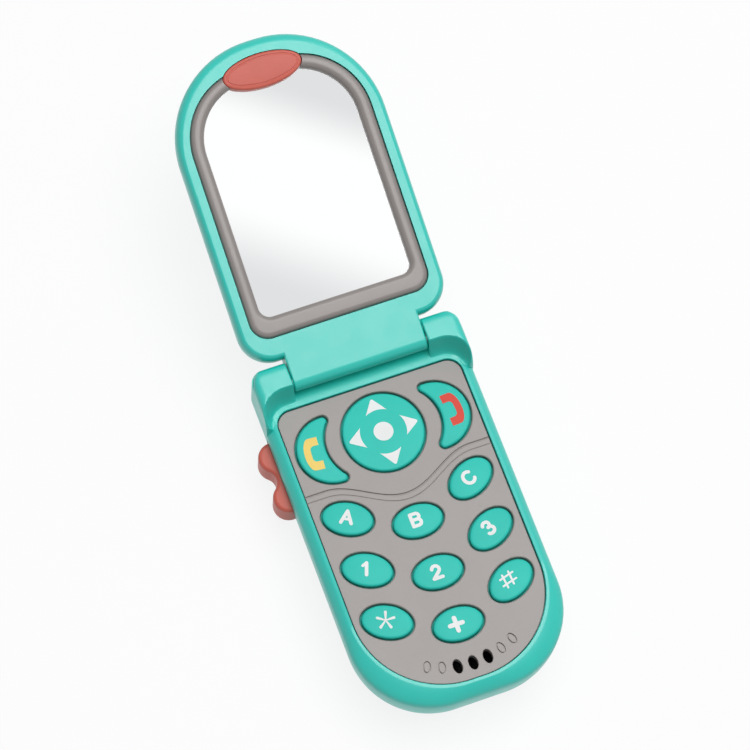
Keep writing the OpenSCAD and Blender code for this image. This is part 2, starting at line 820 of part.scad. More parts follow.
module key_mat() {
    color([0.86, 0.86, 0.84]) difference() {
        union() {
            upright_children(board_top, mat_top)
                board_plan(run_gap, face_hw - board_in - 2 * (boss_r + boss_room));
            for (col = [-1:1])
                for (row = [0:2])
                    translate(concat(key_place(col, row), mat_top - eps))
                        cylinder(r = bump_r, h = bump_h + eps);
            for (x = [-crescent_x - 3.5, 0, crescent_x + 3.5])
                translate([x, pad_y, mat_top - eps])
                    cylinder(r = bump_r, h = bump_h + eps);
        }
        for (p = board_bosses)
            translate([p[0], p[1], board_top - 1])
                cylinder(r = boss_r + run_gap, h = mat_t + 2);
    }
}

// The covered sound chip under the board
module sound_chip() {
    blob_r = 3.6;
    blob_h = 1.4;
    blob_gap = 0.7;
    below_pad = 5;
    color(dark)
        translate([box_hw + box_wall + blob_r + blob_gap, pad_y - below_pad, board_under])
            rotate_extrude()
                polygon(concat([[0, 0]], oval(blob_r, blob_h, 0, -90, 8)));
}

// A pan head screw with its point up and its head's seat at the origin
module screw(shank_r, length, head_r, head_h) {
    cylinder(r = shank_r, h = length);
    translate([0, 0, -head_h])
        difference() {
            cylinder(r = head_r, h = head_h);
            for (turn = [0, 90])
                rotate([0, 0, turn])
                    translate([-0.7 * head_r, -0.2 * head_r, -eps])
                        cube([1.4 * head_r, 0.4 * head_r, 0.5 * head_h]);
        }
}

module board_screws() {
    color(steel)
        for (p = board_bosses)
            translate([p[0], p[1], board_under])
                screw(boss_pilot_r - pin_gap, face_under - board_under - point_room, 2 * boss_pilot_r,
                    board_head_h);
}

module case_screws() {
    color(steel)
        for (p = case_posts)
            translate([p[0], p[1], screw_seat])
                screw(screw_r, post_top - screw_seat - point_room, screw_head_r, screw_head_h);
}

module hinge_pin() {
    pin_in = 0.6;
    color(steel)
        translate([base_hw - pin_in, hinge_y, hinge_z])
            rotate([0, -90, 0])
                cylinder(r = pin_r, h = 2 * base_hw - 2.8);
}

module battery_door() {
    grip_len = 10;
    grip_w = 0.8;
    grip_d = 0.4;
    grip_pitch = 2;
    grip_in = 6;
    color(teal) difference() {
        door_recess(0);
        translate([0, door_screw_y, -1]) {
            cylinder(r = screw_r + screw_gap, h = door_t + 2);
            cylinder(r = screw_head_r + head_gap, h = 1 + door_t / 2);
        }
        for (i = [0:3])
            translate([-grip_len / 2, box_y1 - grip_in - i * grip_pitch, -eps])
                cube([grip_len, grip_w, grip_d + eps]);
    }
}

module battery_door_screw() {
    color(steel)
        translate([0, door_screw_y, door_t / 2])
            screw(screw_r, door_screw_len, screw_head_r, door_t / 2 - 2 * pin_gap);
}

// Two cells side by side, laid opposite ways, with the springs at their flat ends
module battery_cells() {
    nub = 0.8;
    color([0.35, 0.36, 0.38])
        for (side = [-1, 1])
            translate([side * cell_pitch / 2, (box_y0 + box_y1) / 2, cell_z])
                rotate([side * 90, 0, 0])
                    translate([0, 0, -cell_len / 2]) {
                        cylinder(d = cell_d, h = cell_len - nub);
                        cylinder(d = 0.36 * cell_d, h = cell_len);
                    }
}

// A contact spring: a cone of wire, drawn as a thin cone
module battery_springs() {
    span = contact_room / 2 - plate_t;
    color(steel)
        for (side = [-1, 1])
            translate([side * cell_pitch / 2, side < 0 ? box_y0 + plate_t : box_y1 - plate_t, cell_z])
                rotate([side * 90, 0, 0])
                    rotate_extrude()
                        polygon([[spring_low_r - spring_wire, 0], [spring_low_r, 0],
                            [spring_top_r, span], [spring_top_r - spring_wire, span]]);
}

// The contact plates at both ends of the box, with a solder tab out of each at the lid's end
module battery_plates() {
    plate = box_room - plate_in;
    bump = 4;
    color(steel) {
        translate([-cell_pitch / 2 - plate / 2, box_y0, cell_z - plate / 2])
            cube([cell_pitch + plate, plate_t, plate]);
        for (side = [-1, 1])
            translate([side * cell_pitch / 2, box_y1 - plate_t, cell_z]) {
                translate([-plate / 2, 0, -plate / 2])
                    cube([plate, plate_t, plate]);
                translate([-tab_w / 2, 0, -tab_down])
                    cube([tab_w, plate_t + box_wall + tab_out, plate_t]);
            }
        translate([cell_pitch / 2 - bump / 2, box_y0 + plate_t - eps, cell_z - bump / 2])
            cube([bump, contact_room / 2 - plate_t + eps, bump]);
        translate([-cell_pitch / 2 - bump / 2, box_y1 - contact_room / 2, cell_z - bump / 2])
            cube([bump, contact_room / 2 - plate_t + eps, bump]);
    }
}

// Wires from the solder tabs up to the board
module battery_leads() {
    tab_y = box_y1 + box_wall + tab_out / 2;
    tab_z = cell_z - tab_down + plate_t;
    bend = 1;
    sway = 0.6;
    color([0.75, 0.2, 0.18])
        for (side = [-1, 1])
            translate([side * cell_pitch / 2, 0, 0])
                tube([[0, tab_y, tab_z], [0, tab_y, tab_z + bend], [0, tab_y + sway, tab_z + 3 * bend],
                    [0, tab_y + sway, board_under - bend], [0, tab_y + sway, board_under]], wire_d / 2);
}

module speaker_magnet() {
    color(steel)
        translate([0, speaker_y, speaker_z])
            cylinder(r = 0.55 * speaker_r, h = magnet_h);
}

module speaker_frame() {
    rim = speaker_r - basket_wall;
    color(dark)
        translate([0, speaker_y, speaker_z + magnet_h])
            rotate_extrude()
                polygon([[0, 0], [speaker_r - basket_slope, 0], [speaker_r, basket_step],
                    [speaker_r, basket_h], [rim, basket_h], [rim, basket_slope],
                    [rim - basket_floor, basket_floor], [0, basket_floor]]);
}

module speaker_cone() {
    rim = speaker_r - basket_wall;
    cap_r = 2.4;
    cap_h = 0.9;
    cone_h = 1.2;
    paper = 0.3;
    color([0.3, 0.3, 0.31])
        translate([0, speaker_y, speaker_z + magnet_h + basket_floor])
            rotate_extrude()
                polygon([[0, 0], [cap_r, 0], [rim - cap_h, cone_h], [rim, cone_h], [rim, cone_h + paper],
                    [rim - cap_h, cone_h + paper], [cap_r, paper], [0, cap_h]]);
}

// Wires from the loudspeaker's rim up to the board
module speaker_leads() {
    lead_x = 0.6 * speaker_r;
    bend = 1;
    sway = 0.8;
    rim_y = speaker_y + sqrt(pow(speaker_r - basket_wall / 2, 2) - lead_x * lead_x);
    rim_z = speaker_z + magnet_h + basket_h;
    color([0.2, 0.2, 0.22])
        for (side = [-1, 1])
            translate([side * lead_x, rim_y, 0])
                tube([[0, 0, rim_z], [0, 0, rim_z + bend], [0, sway, rim_z + 2.5 * bend],
                    [0, sway, board_under - 2.5 * bend], [0, 0, board_under - bend], [0, 0, board_under]],
                    wire_d / 2);
}

module side_switch_board() {
    color(board_green)
        translate([switch_x, rocker_y - rocker_len / 2, wall + 1.2])
            cube([side_board_t, rocker_len, rocker_z + rocker_h / 2 - wall - 3]);
}

module side_switches() {
    color(dark)
        for (side = [-1, 1])
            translate([switch_x, rocker_y + side * switch_u, rocker_z])
                rotate([0, -90, 0]) {
                    translate([-switch_size / 2, -switch_size / 2, 0])
                        cube([switch_size, switch_size, switch_reach]);
                    cylinder(r = plunger_r, h = switch_reach + plunger_h);
                }
}

// The rocker, seen in plan as two round ends with a waist, turning on an upright pivot
module side_rocker() {
    color(coral)
        translate([-base_hw, rocker_y, rocker_z])
            mirror([1, 0, 0])
                difference() {
                    union() {
                        translate([0, 0, -rocker_h / 2])
                            linear_extrude(rocker_h) rocker_plan();
                        translate([-pivot_in, 0, -arm_h / 2])
                            cylinder(r = pivot_boss_r, h = arm_h);
                        translate([-pivot_in, -pivot_boss_r, -arm_h / 2])
                            cube([pivot_in, 2 * pivot_boss_r, arm_h]);
                    }
                    translate([-pivot_in, 0, -rocker_h])
                        cylinder(r = pivot_r + pin_gap, h = 2 * rocker_h);
                }
}

module rocker_plan() {
    centre_v = rocker_waist + waist_r;
    reach = norm([centre_v - rocker_bump_v, rocker_bump_u]);
    touch = [rocker_bump_v + rocker_r * (centre_v - rocker_bump_v) / reach,
        rocker_bump_u * (1 - rocker_r / reach)];
    for (side = [-1, 1])
        translate([rocker_bump_v, side * rocker_bump_u])
            circle(r = rocker_r);
    translate([-rocker_depth, -rocker_bump_u])
        square([rocker_depth + rocker_bump_v + eps, 2 * rocker_bump_u]);
    difference() {
        polygon([[rocker_bump_v, -rocker_bump_u], [touch[0], -touch[1]], [touch[0], touch[1]],
            [rocker_bump_v, rocker_bump_u]]);
        translate([centre_v, 0])
            circle(r = waist_r);
    }
}

// Edges of the lid's pieces, measured from each piece's own outline, from the front down
lid_front_edge = concat(arc([-lid_edge_r, lid_face - lid_edge_r], lid_edge_r, 90, 0, 6), [[0, -lid_parting]]);
lid_back_edge = concat([[0, -lid_parting]], arc([-lid_edge_r, lid_edge_r - lid_back], lid_edge_r, 0, -90, 6));
function plain_edge(z1, z0) = [[0, z1], [0, z0]];

// The frame's outline and the opening's outline, grown by o
module bezel_arch(o, edge) {
    arch_slab(bezel_hw + o, bezel_y0 - o, bezel_y1 + o, bezel_corner_r + o, bezel_crown_r + o, edge);
}
module view_arch(o, edge) {
    arch_slab(view_hw + o, view_y0 - o, view_y1 + o, view_corner_r + o, view_crown_r + o, edge);
}

module lid_front_shell() {
    color(teal) on_lid() difference() {
        union() {
            arch_slab(lid_hw, lid_y0, lid_y1, lid_corner_r, lid_crown_r, lid_front_edge);
            along_hinge(-barrel_w / 2, barrel_w / 2, [[0, lid_face], [lid_y0 + lid_edge_r, lid_face],
                [lid_y0 + lid_edge_r, -lid_parting], [0, -lid_parting]]);
            translate([-barrel_w / 2, 0, 0])
                rotate([0, 90, 0])
                    cylinder(r = lid_face, h = barrel_w);
            for (p = lid_posts)
                translate([p[0], p[1], lid_floor - lid_back + bezel_gap])
                    cylinder(r = lid_post_r, h = lid_back - lid_floor - lid_parting);
        }
        bezel_arch(bezel_gap, plain_edge(lid_face + 1, mirror_z));
        view_arch(mirror_seat, plain_edge(lid_face, mirror_z - mirror_t));
        upright(mirror_z, lid_face + 1, badge_plan(badge_gap));
        translate([-barrel_w, 0, 0])
            rotate([0, 90, 0])
                cylinder(r = pin_r + pin_gap, h = 2 * barrel_w);
        for (p = lid_posts)
            translate([p[0], p[1], -lid_back])
                cylinder(r = lid_screw_r + pin_gap, h = lid_back + mirror_z - mirror_t - run_gap);
    }
}

module lid_rear_shell() {
    tab_y = lid_face + 3 * run_gap;
    tab_back = 4.4;
    color(teal) on_lid() difference() {
        union() {
            arch_slab(lid_hw, lid_y0, lid_y1, lid_corner_r, lid_crown_r, lid_back_edge);
            along_hinge(-barrel_w / 2, barrel_w / 2, [[tab_y, -lid_parting],
                [lid_y0 + lid_edge_r, -lid_parting], [lid_y0 + lid_edge_r, -tab_back],
                [tab_y + 1, -tab_back], [tab_y, 1 - tab_back]]);
        }
        arch_slab(lid_hw - lid_wall, lid_y0 + lid_wall + lid_edge_r, lid_y1 - lid_wall,
            lid_corner_r - lid_wall, lid_crown_r - lid_wall, plain_edge(1, lid_floor - lid_back));
        for (p = lid_posts)
            translate([p[0], p[1], -lid_back - 1]) {
                cylinder(r = lid_screw_r + screw_gap, h = lid_back);
                cylinder(r = lid_screw_head_r + head_gap, h = lid_screw_seat + 1);
            }
    }
}

module lid_screws() {
    color(steel) on_lid()
        for (p = lid_posts)
            translate([p[0], p[1], lid_screw_seat - lid_back])
                screw(lid_screw_r, lid_back + mirror_z - mirror_t - lid_screw_seat - 2 * run_gap,
                    lid_screw_head_r, lid_head_h);
}

module mirror_sheet() {
    color([0.9, 0.92, 0.94]) on_lid()
        view_arch(mirror_lap, plain_edge(mirror_z, mirror_z - mirror_t));
}

// Plan of the badge, grown by o
function badge_plan(o) = [for (p = oval(badge_len / 2 + o, badge_wid / 2 + o)) p + [0, badge_y]];

// The mirror's frame, half round towards the mirror and notched for the badge
module mirror_bezel() {
    front = lid_face + bezel_rise;
    round_r = 1.6;
    outer = concat(arc([-round_r, front - round_r], round_r, 90, 0, 5), [[0, mirror_z]]);
    opening = concat([[round_r, front + 1]],
        [for (a = [90:-18:0]) [round_r - round_r * cos(a), front - round_r + round_r * sin(a)]],
        [[0, mirror_z - eps]]);
    color(warm_grey) on_lid() difference() {
        bezel_arch(0, outer);
        view_arch(0, opening);
        upright(mirror_z - eps, front + 1, badge_plan(badge_gap));
    }
}

module badge() {
    front = lid_face + badge_rise;
    drop = 0.4;
    dome_r = (pow(badge_len / 2, 2) + drop * drop) / (2 * drop);
    color(coral) on_lid() intersection() {
        upright(mirror_z, front + 1, badge_plan(0));
        translate([0, badge_y, front - dome_r])
            sphere(r = dome_r, $fn = 180);
    }
}

base_front_shell();
base_rear_shell();
keypad_fascia();
key_mat();
main_board();
sound_chip();
board_screws();
case_screws();
hinge_pin();
battery_door();
battery_door_screw();
battery_cells();
battery_springs();
battery_plates();
battery_leads();
speaker_frame();
speaker_cone();
speaker_magnet();
speaker_leads();
side_switch_board();
side_switches();
nav_pad();
call_key();
end_key();
key_a();
key_b();
key_c();
key_1();
key_2();
key_3();
key_star();
key_plus();
key_hash();
side_rocker();
lid_front_shell();
lid_rear_shell();
mirror_bezel();
mirror_sheet();
badge();
lid_screws();
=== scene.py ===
# A toy flip phone: its finished surfaces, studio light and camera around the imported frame.
# Shapes are worked out in millimetres in the frame's own axes and become metres on the way into a mesh.
import json
import math

import bmesh
import bpy
from mathutils import Matrix, Vector


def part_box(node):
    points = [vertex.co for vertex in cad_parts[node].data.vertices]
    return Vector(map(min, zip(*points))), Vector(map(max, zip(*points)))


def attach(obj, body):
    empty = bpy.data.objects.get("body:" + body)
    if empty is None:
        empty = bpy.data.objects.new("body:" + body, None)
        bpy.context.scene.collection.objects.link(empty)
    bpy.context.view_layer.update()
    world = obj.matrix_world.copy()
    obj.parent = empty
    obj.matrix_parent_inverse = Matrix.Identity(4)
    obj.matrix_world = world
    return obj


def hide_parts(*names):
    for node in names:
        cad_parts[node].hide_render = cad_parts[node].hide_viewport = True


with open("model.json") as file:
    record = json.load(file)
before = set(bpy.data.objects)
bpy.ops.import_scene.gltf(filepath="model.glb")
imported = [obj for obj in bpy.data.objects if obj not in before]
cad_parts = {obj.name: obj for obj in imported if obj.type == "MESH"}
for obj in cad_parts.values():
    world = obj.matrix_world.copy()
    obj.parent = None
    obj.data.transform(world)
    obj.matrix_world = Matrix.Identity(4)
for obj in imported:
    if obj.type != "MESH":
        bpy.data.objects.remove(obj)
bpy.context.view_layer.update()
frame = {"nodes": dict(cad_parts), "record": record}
nodes = frame["nodes"]
MM = 0.001


# Small helpers for numbers and outlines

def mm_box(node):
    """A node's lowest and highest corners, in millimetres."""
    low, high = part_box(node)
    return Vector(low) / MM, Vector(high) / MM


def mix(a, b, f):
    """The value between two others at a share of the way."""
    return a + (b - a) * f


def arc(cx, cy, r, a0, a1, count):
    """Points along an arc, both ends included; angles in degrees."""
    turns = [math.radians(mix(a0, a1, i / count)) for i in range(count + 1)]
    return [(cx + r * math.cos(t), cy + r * math.sin(t)) for t in turns]


def ellipse(a, b, count=48):
    turns = [math.tau * i / count for i in range(count)]
    return [(a * math.cos(t), b * math.sin(t)) for t in turns]


def quarter(width, height, count):
    """Steps of a rounded edge: how far in from the side and how far down from the top, top first."""
    turns = [math.radians(90 * i / count) for i in range(count + 1)]
    return [(width * (1 - math.sin(t)), height * (1 - math.cos(t))) for t in turns]


def round_plan(half, y0, y1, low_r, top_r):
    """A plan with straight sides, two lower and two upper round corners, counterclockwise."""
    low_steps = 28
    top_steps = 20
    return (arc(half - low_r, y0 + low_r, low_r, 270, 360, low_steps)
            + arc(half - top_r, y1 - top_r, top_r, 0, 90, top_steps)
            + arc(top_r - half, y1 - top_r, top_r, 90, 180, top_steps)
            + arc(low_r - half, y0 + low_r, low_r, 180, 270, low_steps))


def lift(outline, z):
    return [(x, y, z) for x, y in outline]


def turned(outline, angle, place=(0, 0)):
    """An outline turned about the origin, in degrees, and moved."""
    c = math.cos(math.radians(angle))
    s = math.sin(math.radians(angle))
    return [(place[0] + c * x - s * y, place[1] + s * x + c * y) for x, y in outline]


# Mesh building: joining distances, smoothing angles, steps, and how far a cutting tool reaches past

JOIN = 0.002 * MM
SLIVER = 0.001 * MM
SMOOTH = 35
CAD_SMOOTH = 30
BORE_STEPS = 40
EDGE_STEPS = 5
PAST = 1


def piece(name, points, faces, material, smooth=SMOOTH):
    """A mesh object from points in millimetres, with normals out and edges smooth below an angle."""
    mesh = bpy.data.meshes.new(name)
    mesh.from_pydata([[c * MM for c in p] for p in points], [], faces)
    made = bmesh.new()
    made.from_mesh(mesh)
    bmesh.ops.remove_doubles(made, verts=made.verts, dist=JOIN)
    bmesh.ops.dissolve_degenerate(made, edges=made.edges, dist=SLIVER)
    bmesh.ops.recalc_face_normals(made, faces=made.faces)
    made.to_mesh(mesh)
    made.free()
    thing = bpy.data.objects.new(name, mesh)
    bpy.context.scene.collection.objects.link(thing)
    finish_mesh(thing, material, smooth)
    return thing


def finish_mesh(thing, material, smooth=SMOOTH):
    """Gives a mesh its one material and its shading."""
    thing.data.materials.clear()
    thing.data.materials.append(material)
    soften(thing, smooth)


def soften(thing, angle):
    """Smooth shading, with edges kept sharp above an angle in degrees."""
    mesh = thing.data
    mesh.polygons.foreach_set("use_smooth", [True] * len(mesh.polygons))
    mesh.set_sharp_from_angle(angle=math.radians(angle))


def level(thing):
    """Lets large flat faces keep their own shading beside rounded edges."""
    step = thing.modifiers.new("normals", "WEIGHTED_NORMAL")
    step.keep_sharp = True


def loft(rings, closed_tube=False, cap_first=False, cap_last=False):
    """Points and faces of a skin over closed rings with equal counts."""
    count = len(rings[0])
    points = [p for ring in rings for p in ring]
    faces = []
    steps = len(rings) if closed_tube else len(rings) - 1
    for i in range(steps):
        low = i * count
        high = (i + 1) % len(rings) * count
        for k in range(count):
            n = (k + 1) % count
            faces.append((low + k, low + n, high + n, high + k))
    if cap_first:
        faces.append(tuple(range(count)))
    if cap_last:
        start = (len(rings) - 1) * count
        faces.append(tuple(range(start, start + count)))
    return points, faces


def solid(name, rings, material, closed_tube=False):
    """A closed piece over rings: capped at both ends, or joined end to end."""
    points, faces = loft(rings, closed_tube, not closed_tube, not closed_tube)
    return piece(name, points, faces, material)


def combine(thing, tool, operation):
    """Joins a tool to a mesh, or cuts it out, and removes the tool."""
    step = thing.modifiers.new("step", "BOOLEAN")
    step.operation = operation
    step.solver = "EXACT"
    step.object = tool
    bpy.context.view_layer.update()
    graph = bpy.context.evaluated_depsgraph_get()
    result = bpy.data.meshes.new_from_object(thing.evaluated_get(graph))
    thing.modifiers.clear()
    old = thing.data
    result.name = old.name
    thing.data = result
    bpy.data.meshes.remove(old)
    spare = tool.data
    bpy.data.objects.remove(tool)
    bpy.data.meshes.remove(spare)


def tidy(thing, material):
    """Closes what joining and cutting leave: doubled points and slivers."""
    made = bmesh.new()
    made.from_mesh(thing.data)
    bmesh.ops.remove_doubles(made, verts=made.verts, dist=JOIN)
    bmesh.ops.dissolve_degenerate(made, edges=made.edges, dist=SLIVER)
    made.to_mesh(thing.data)
    made.free()
    finish_mesh(thing, material)
    level(thing)


def block(low, high):
    """A plain box used as a tool."""
    points = [(x, y, z) for x in (low[0], high[0]) for y in (low[1], high[1]) for z in (low[2], high[2])]
    faces = [(0, 1, 3, 2), (4, 6, 7, 5), (0, 4, 5, 1), (2, 3, 7, 6), (0, 2, 6, 4), (1, 5, 7, 3)]
    return piece("tool", points, faces, tool_finish)


def prism(outline, z0, z1):
    """An upright solid over an outline, used as a tool."""
    return solid("tool", [lift(outline, z0), lift(outline, z1)], tool_finish)


def bar(section, x0, x1):
    """A solid along X over a section in Y and Z, used as a tool."""
    return solid("tool", [[(x, y, z) for y, z in section] for x in (x0, x1)], tool_finish)


# Materials: where noise turns into a range, its detail, how far gloss varies, and how strong a grain shows

NOISE_LOW = 0.3
NOISE_HIGH = 0.7
CLOUD_DETAIL = 3
GRAIN_DETAIL = 2
ROUGH_SPREAD = 0.1
GRAIN_STRENGTH = 0.5


def srgb(r, g, b):
    """A colour as it is seen, 0 to 255, turned into linear light."""
    def linear(c):
        c = c / 255
        return c / 12.92 if c <= 0.04045 else ((c + 0.055) / 1.055) ** 2.4
    return (linear(r), linear(g), linear(b), 1.0)


def scaled(colour, f):
    """A colour made darker or lighter, no lighter than white."""
    return tuple(min(c * f, 1.0) for c in colour[:3]) + (1.0,)


def add_noise(tree, scale, detail, coords):
    noise = tree.nodes.new("ShaderNodeTexNoise")
    noise.inputs["Scale"].default_value = scale
    noise.inputs["Detail"].default_value = detail
    tree.links.new(coords, noise.inputs["Vector"])
    return noise.outputs["Fac"]


def add_range(tree, value, low, high):
    spread = tree.nodes.new("ShaderNodeMapRange")
    spread.inputs["From Min"].default_value = NOISE_LOW
    spread.inputs["From Max"].default_value = NOISE_HIGH
    spread.inputs["To Min"].default_value = low
    spread.inputs["To Max"].default_value = high
    tree.links.new(value, spread.inputs["Value"])
    return spread.outputs["Result"]


def finish(name, colour, rough, metal=0.0, cloud=0.03, cloud_size=9, grain=0.4, grain_depth=0.004,
           gloss=0.5):
    """A moulded or metal surface: faint clouds in its colour, uneven gloss and a grain, sizes in mm."""
    material = bpy.data.materials.new(name)
    material.use_nodes = True
    tree = material.node_tree
    shader = tree.nodes["Principled BSDF"]
    coords = tree.nodes.new("ShaderNodeTexCoord").outputs["Object"]
    clouds = add_noise(tree, 1 / (cloud_size * MM), CLOUD_DETAIL, coords)
    tint = tree.nodes.new("ShaderNodeMix")
    tint.data_type = "RGBA"
    tint.inputs["A"].default_value = scaled(colour, 1 - cloud)
    tint.inputs["B"].default_value = scaled(colour, 1 + cloud)
    tree.links.new(add_range(tree, clouds, 0, 1), tint.inputs["Factor"])
    tree.links.new(tint.outputs["Result"], shader.inputs["Base Color"])
    fine = add_noise(tree, 1 / (grain * MM), GRAIN_DETAIL, coords)
    uneven = add_range(tree, fine, rough * (1 - ROUGH_SPREAD), rough * (1 + ROUGH_SPREAD))
    tree.links.new(uneven, shader.inputs["Roughness"])
    bump = tree.nodes.new("ShaderNodeBump")
    bump.inputs["Distance"].default_value = grain_depth * MM
    bump.inputs["Strength"].default_value = GRAIN_STRENGTH
    tree.links.new(fine, bump.inputs["Height"])
    tree.links.new(bump.outputs["Normal"], shader.inputs["Normal"])
    shader.inputs["Metallic"].default_value = metal
    shader.inputs["Specular IOR Level"].default_value = gloss
    return material


# Across the mirror's box from its lower left: the way of the painted reflection, and on each side where the
# painted reflection is still bright and where it is grey
REFLECTION_WAY = (0.336, 0.664, 0)
REFLECTION_EDGES = ((0.39, 0.13), (0.63, 0.82))
REFLECTION_BRIGHT = srgb(254, 255, 255)
REFLECTION_GREY = srgb(224, 225, 226)


def mirror_finish():
    """A silvered sheet with a painted reflection in its colour: a bright band across it, and a grey one at
    its lower left and upper right.
    """
    material = finish("mirror_silver", srgb(255, 255, 255), 0.03, metal=1.0, grain_depth=0.0)
    tree = material.node_tree
    shader = tree.nodes["Principled BSDF"]
    place = tree.nodes.new("ShaderNodeTexCoord").outputs["Generated"]
    along = tree.nodes.new("ShaderNodeVectorMath")
    along.operation = "DOT_PRODUCT"
    tree.links.new(place, along.inputs[0])
    along.inputs[1].default_value = REFLECTION_WAY
    sides = []
    for clear, grey_from in REFLECTION_EDGES:
        edge = tree.nodes.new("ShaderNodeMapRange")
        edge.interpolation_type = "SMOOTHSTEP"
        edge.inputs["From Min"].default_value = clear
        edge.inputs["From Max"].default_value = grey_from
        tree.links.new(along.outputs["Value"], edge.inputs["Value"])
        sides.append(edge.outputs["Result"])
    painted_reflection = tree.nodes.new("ShaderNodeMath")
    painted_reflection.operation = "MAXIMUM"
    for side, socket in zip(sides, painted_reflection.inputs):
        tree.links.new(side, socket)
    # The bright band and the grey patches are a painted reflection, laid into the base colour
    tint = tree.nodes.new("ShaderNodeMix")
    tint.data_type = "RGBA"
    tint.inputs["A"].default_value = REFLECTION_BRIGHT
    tint.inputs["B"].default_value = REFLECTION_GREY
    tree.links.new(painted_reflection.outputs["Value"], tint.inputs["Factor"])
    tree.links.new(tint.outputs["Result"], shader.inputs["Base Color"])
    return material


tool_finish = bpy.data.materials.new("tool")
teal = finish("teal_plastic", srgb(32, 202, 188), 0.31, cloud=0.015, grain=4, grain_depth=0.0,
              gloss=0.72)
key_teal = finish("key_plastic", srgb(48, 203, 188), 0.42, gloss=0.2)
grey = finish("grey_plastic", srgb(140, 133, 130), 0.36, grain=0.5, grain_depth=0.006, gloss=0.65)
coral = finish("coral_plastic", srgb(205, 100, 86), 0.4, gloss=0.3)
glass = mirror_finish()
white_ink = finish("white_ink", srgb(246, 247, 247), 0.5, gloss=0.1)
yellow_ink = finish("yellow_ink", srgb(253, 220, 124), 0.5, gloss=0.1)
red_ink = finish("red_ink", srgb(230, 88, 76), 0.5, gloss=0.1)
rubber = finish("pale_rubber", srgb(214, 214, 208), 0.7)
board_green = finish("board_green", srgb(38, 92, 58), 0.45, cloud=0.08)
dark = finish("dark_plastic", srgb(42, 43, 46), 0.45)
paper = finish("speaker_paper", srgb(58, 57, 58), 0.85, cloud=0.1, grain=0.3, grain_depth=0.03)
jacket = finish("cell_jacket", srgb(86, 88, 92), 0.33, cloud=0.05)
red_wire = finish("red_wire", srgb(186, 48, 42), 0.45)
black_wire = finish("black_wire", srgb(36, 36, 40), 0.45)
steel = finish("steel", srgb(186, 188, 192), 0.32, metal=1.0, cloud=0.05)

by_slot = {
    "teal_shell": teal, "teal_key": key_teal, "grey_face": grey, "coral": coral, "mirror": glass,
    "key_rubber": rubber, "board": board_green, "dark_plastic": dark, "speaker_paper": paper,
    "cell_jacket": jacket, "red_wire": red_wire, "black_wire": black_wire, "steel": steel,
}
for entry in frame["record"]["subparts"]:
    finish_mesh(nodes[entry["node"]], by_slot[entry["material_slot"]], CAD_SMOOTH)


def stand_for(thing, node, body):
    """A finished piece takes a CAD node's place and body."""
    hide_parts(node)
    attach(thing, body)


# Sizes of the base: its plan and walls; a flat is half the straight stretch at the lower end

base_low, base_high = mm_box("base_front_shell")
face_low, face_high = mm_box("keypad_fascia")
FACE_Z = face_high.z
FACE_UNDER = FACE_Z - 1.8
BASE_FLAT = 6.8
FACE_FLAT = 2.0
END_R = 3.5
FACE_TOP_R = 4.0
WALL = 2.0
FACE_GAP = 0.25
LEDGE_W = 1.2
LEDGE_UNDER = FACE_UNDER - 1.2

# The rounded back, and the heights at which it is drawn
ROUND_W = 9.3
ROUND_H = 17.0
BACK_ROWS = (ROUND_H, 15.5, 14, 12.6, 11.3, base_low.z)

# The rim around the face, and the lower deck between the ears
RIM_TOP = FACE_Z + 0.6
RIM_FLAT = 0.75
RIM_W = base_high.x - face_high.x - FACE_GAP - RIM_FLAT
RIM_H = 3.2
RIM_SLOPE = 0.45
RIM_STEPS = 14
EDGE = 0.15
DECK_DROP = 0.3
DECK_Y = face_high.y + 2

# The hinge, and the ears on both sides of it
HINGE_Y = 44.5
HINGE_Z = 25.0
PIN_R = 1.27
PIN_PLAY = 0.03
PIN_BLIND = 0.6
EAR_TOP = HINGE_Z + 3.5
EAR_UNDER = base_low.z + 8.2
EAR_ROUND = 2.6
EAR_START_R = 5.0
EAR_FOOT_R = 5.5
EAR_WALL = 2.6
EAR_CLIMB = 1.3
EAR_BEND = 1.5
EAR_NOSE = 7.5
EAR_SINK = 0.1
EAR_BLEND = 0.9
NOSE_BLEND = 1.0
EAR_BEVEL = 0.3
EAR_GAP = 0.3
EAR_STEPS = 30
EAR_BACK_STEPS = 9
EAR_STATIONS = 24
corner_x = face_high.x - FACE_TOP_R
corner_y = face_high.y - FACE_TOP_R

# Room for the rocker in the base's side
ROCKER_ROOM = 0.6
ROCKER_GAP = 0.3
ROCKER_DEEP = 1.7


def base_plan(grow):
    radius = base_high.x - BASE_FLAT
    return round_plan(base_high.x + grow, base_low.y - grow, base_high.y + grow, radius + grow,
                      END_R + grow)


def face_plan(grow):
    radius = face_high.x - FACE_FLAT
    return round_plan(face_high.x + grow, face_low.y - grow, face_high.y + grow, radius + grow,
                      FACE_TOP_R + grow)


def back_in(z, wall=0.0):
    """How far the rounded back draws in at a height, for the outside or for the inside of the wall."""
    f = max(ROUND_H - z, 0) / (ROUND_H - wall)
    return (ROUND_W - wall) * (1 - math.sqrt(1 - f * f))


def side_plan(z):
    """The outside at a height on the rounded back, whose upper corners sharpen as the back draws in."""
    inset = back_in(z)
    corner = END_R - inset * (2 + math.sqrt(2))
    return round_plan(base_high.x - inset, base_low.y + inset, base_high.y - inset,
                      base_high.x - BASE_FLAT - inset, corner)


def rim_drop(f):
    """Height of the rim's rounding from its inner start at 0 to the outside at 1."""
    return RIM_TOP - RIM_H * mix(1 - math.sqrt(max(1 - f * f, 0)), f, RIM_SLOPE)


def rim_z(x):
    """Height of the rim's rounded top at a distance from the middle."""
    return rim_drop(min(max(abs(x) - base_high.x + RIM_W, 0) / RIM_W, 1))


def rim_plan(f):
    """An outline on the rim's rounding, from its inner start at 0 to the outside at 1."""
    start = FACE_GAP + RIM_FLAT
    half = mix(face_high.x + start, base_high.x, f)
    low = mix(face_low.y - start, base_low.y, f)
    radius = mix(face_high.x - FACE_FLAT + start, base_high.x - BASE_FLAT, f)
    inset = base_high.x - half
    return round_plan(half, low, base_high.y - inset, radius, END_R - inset)


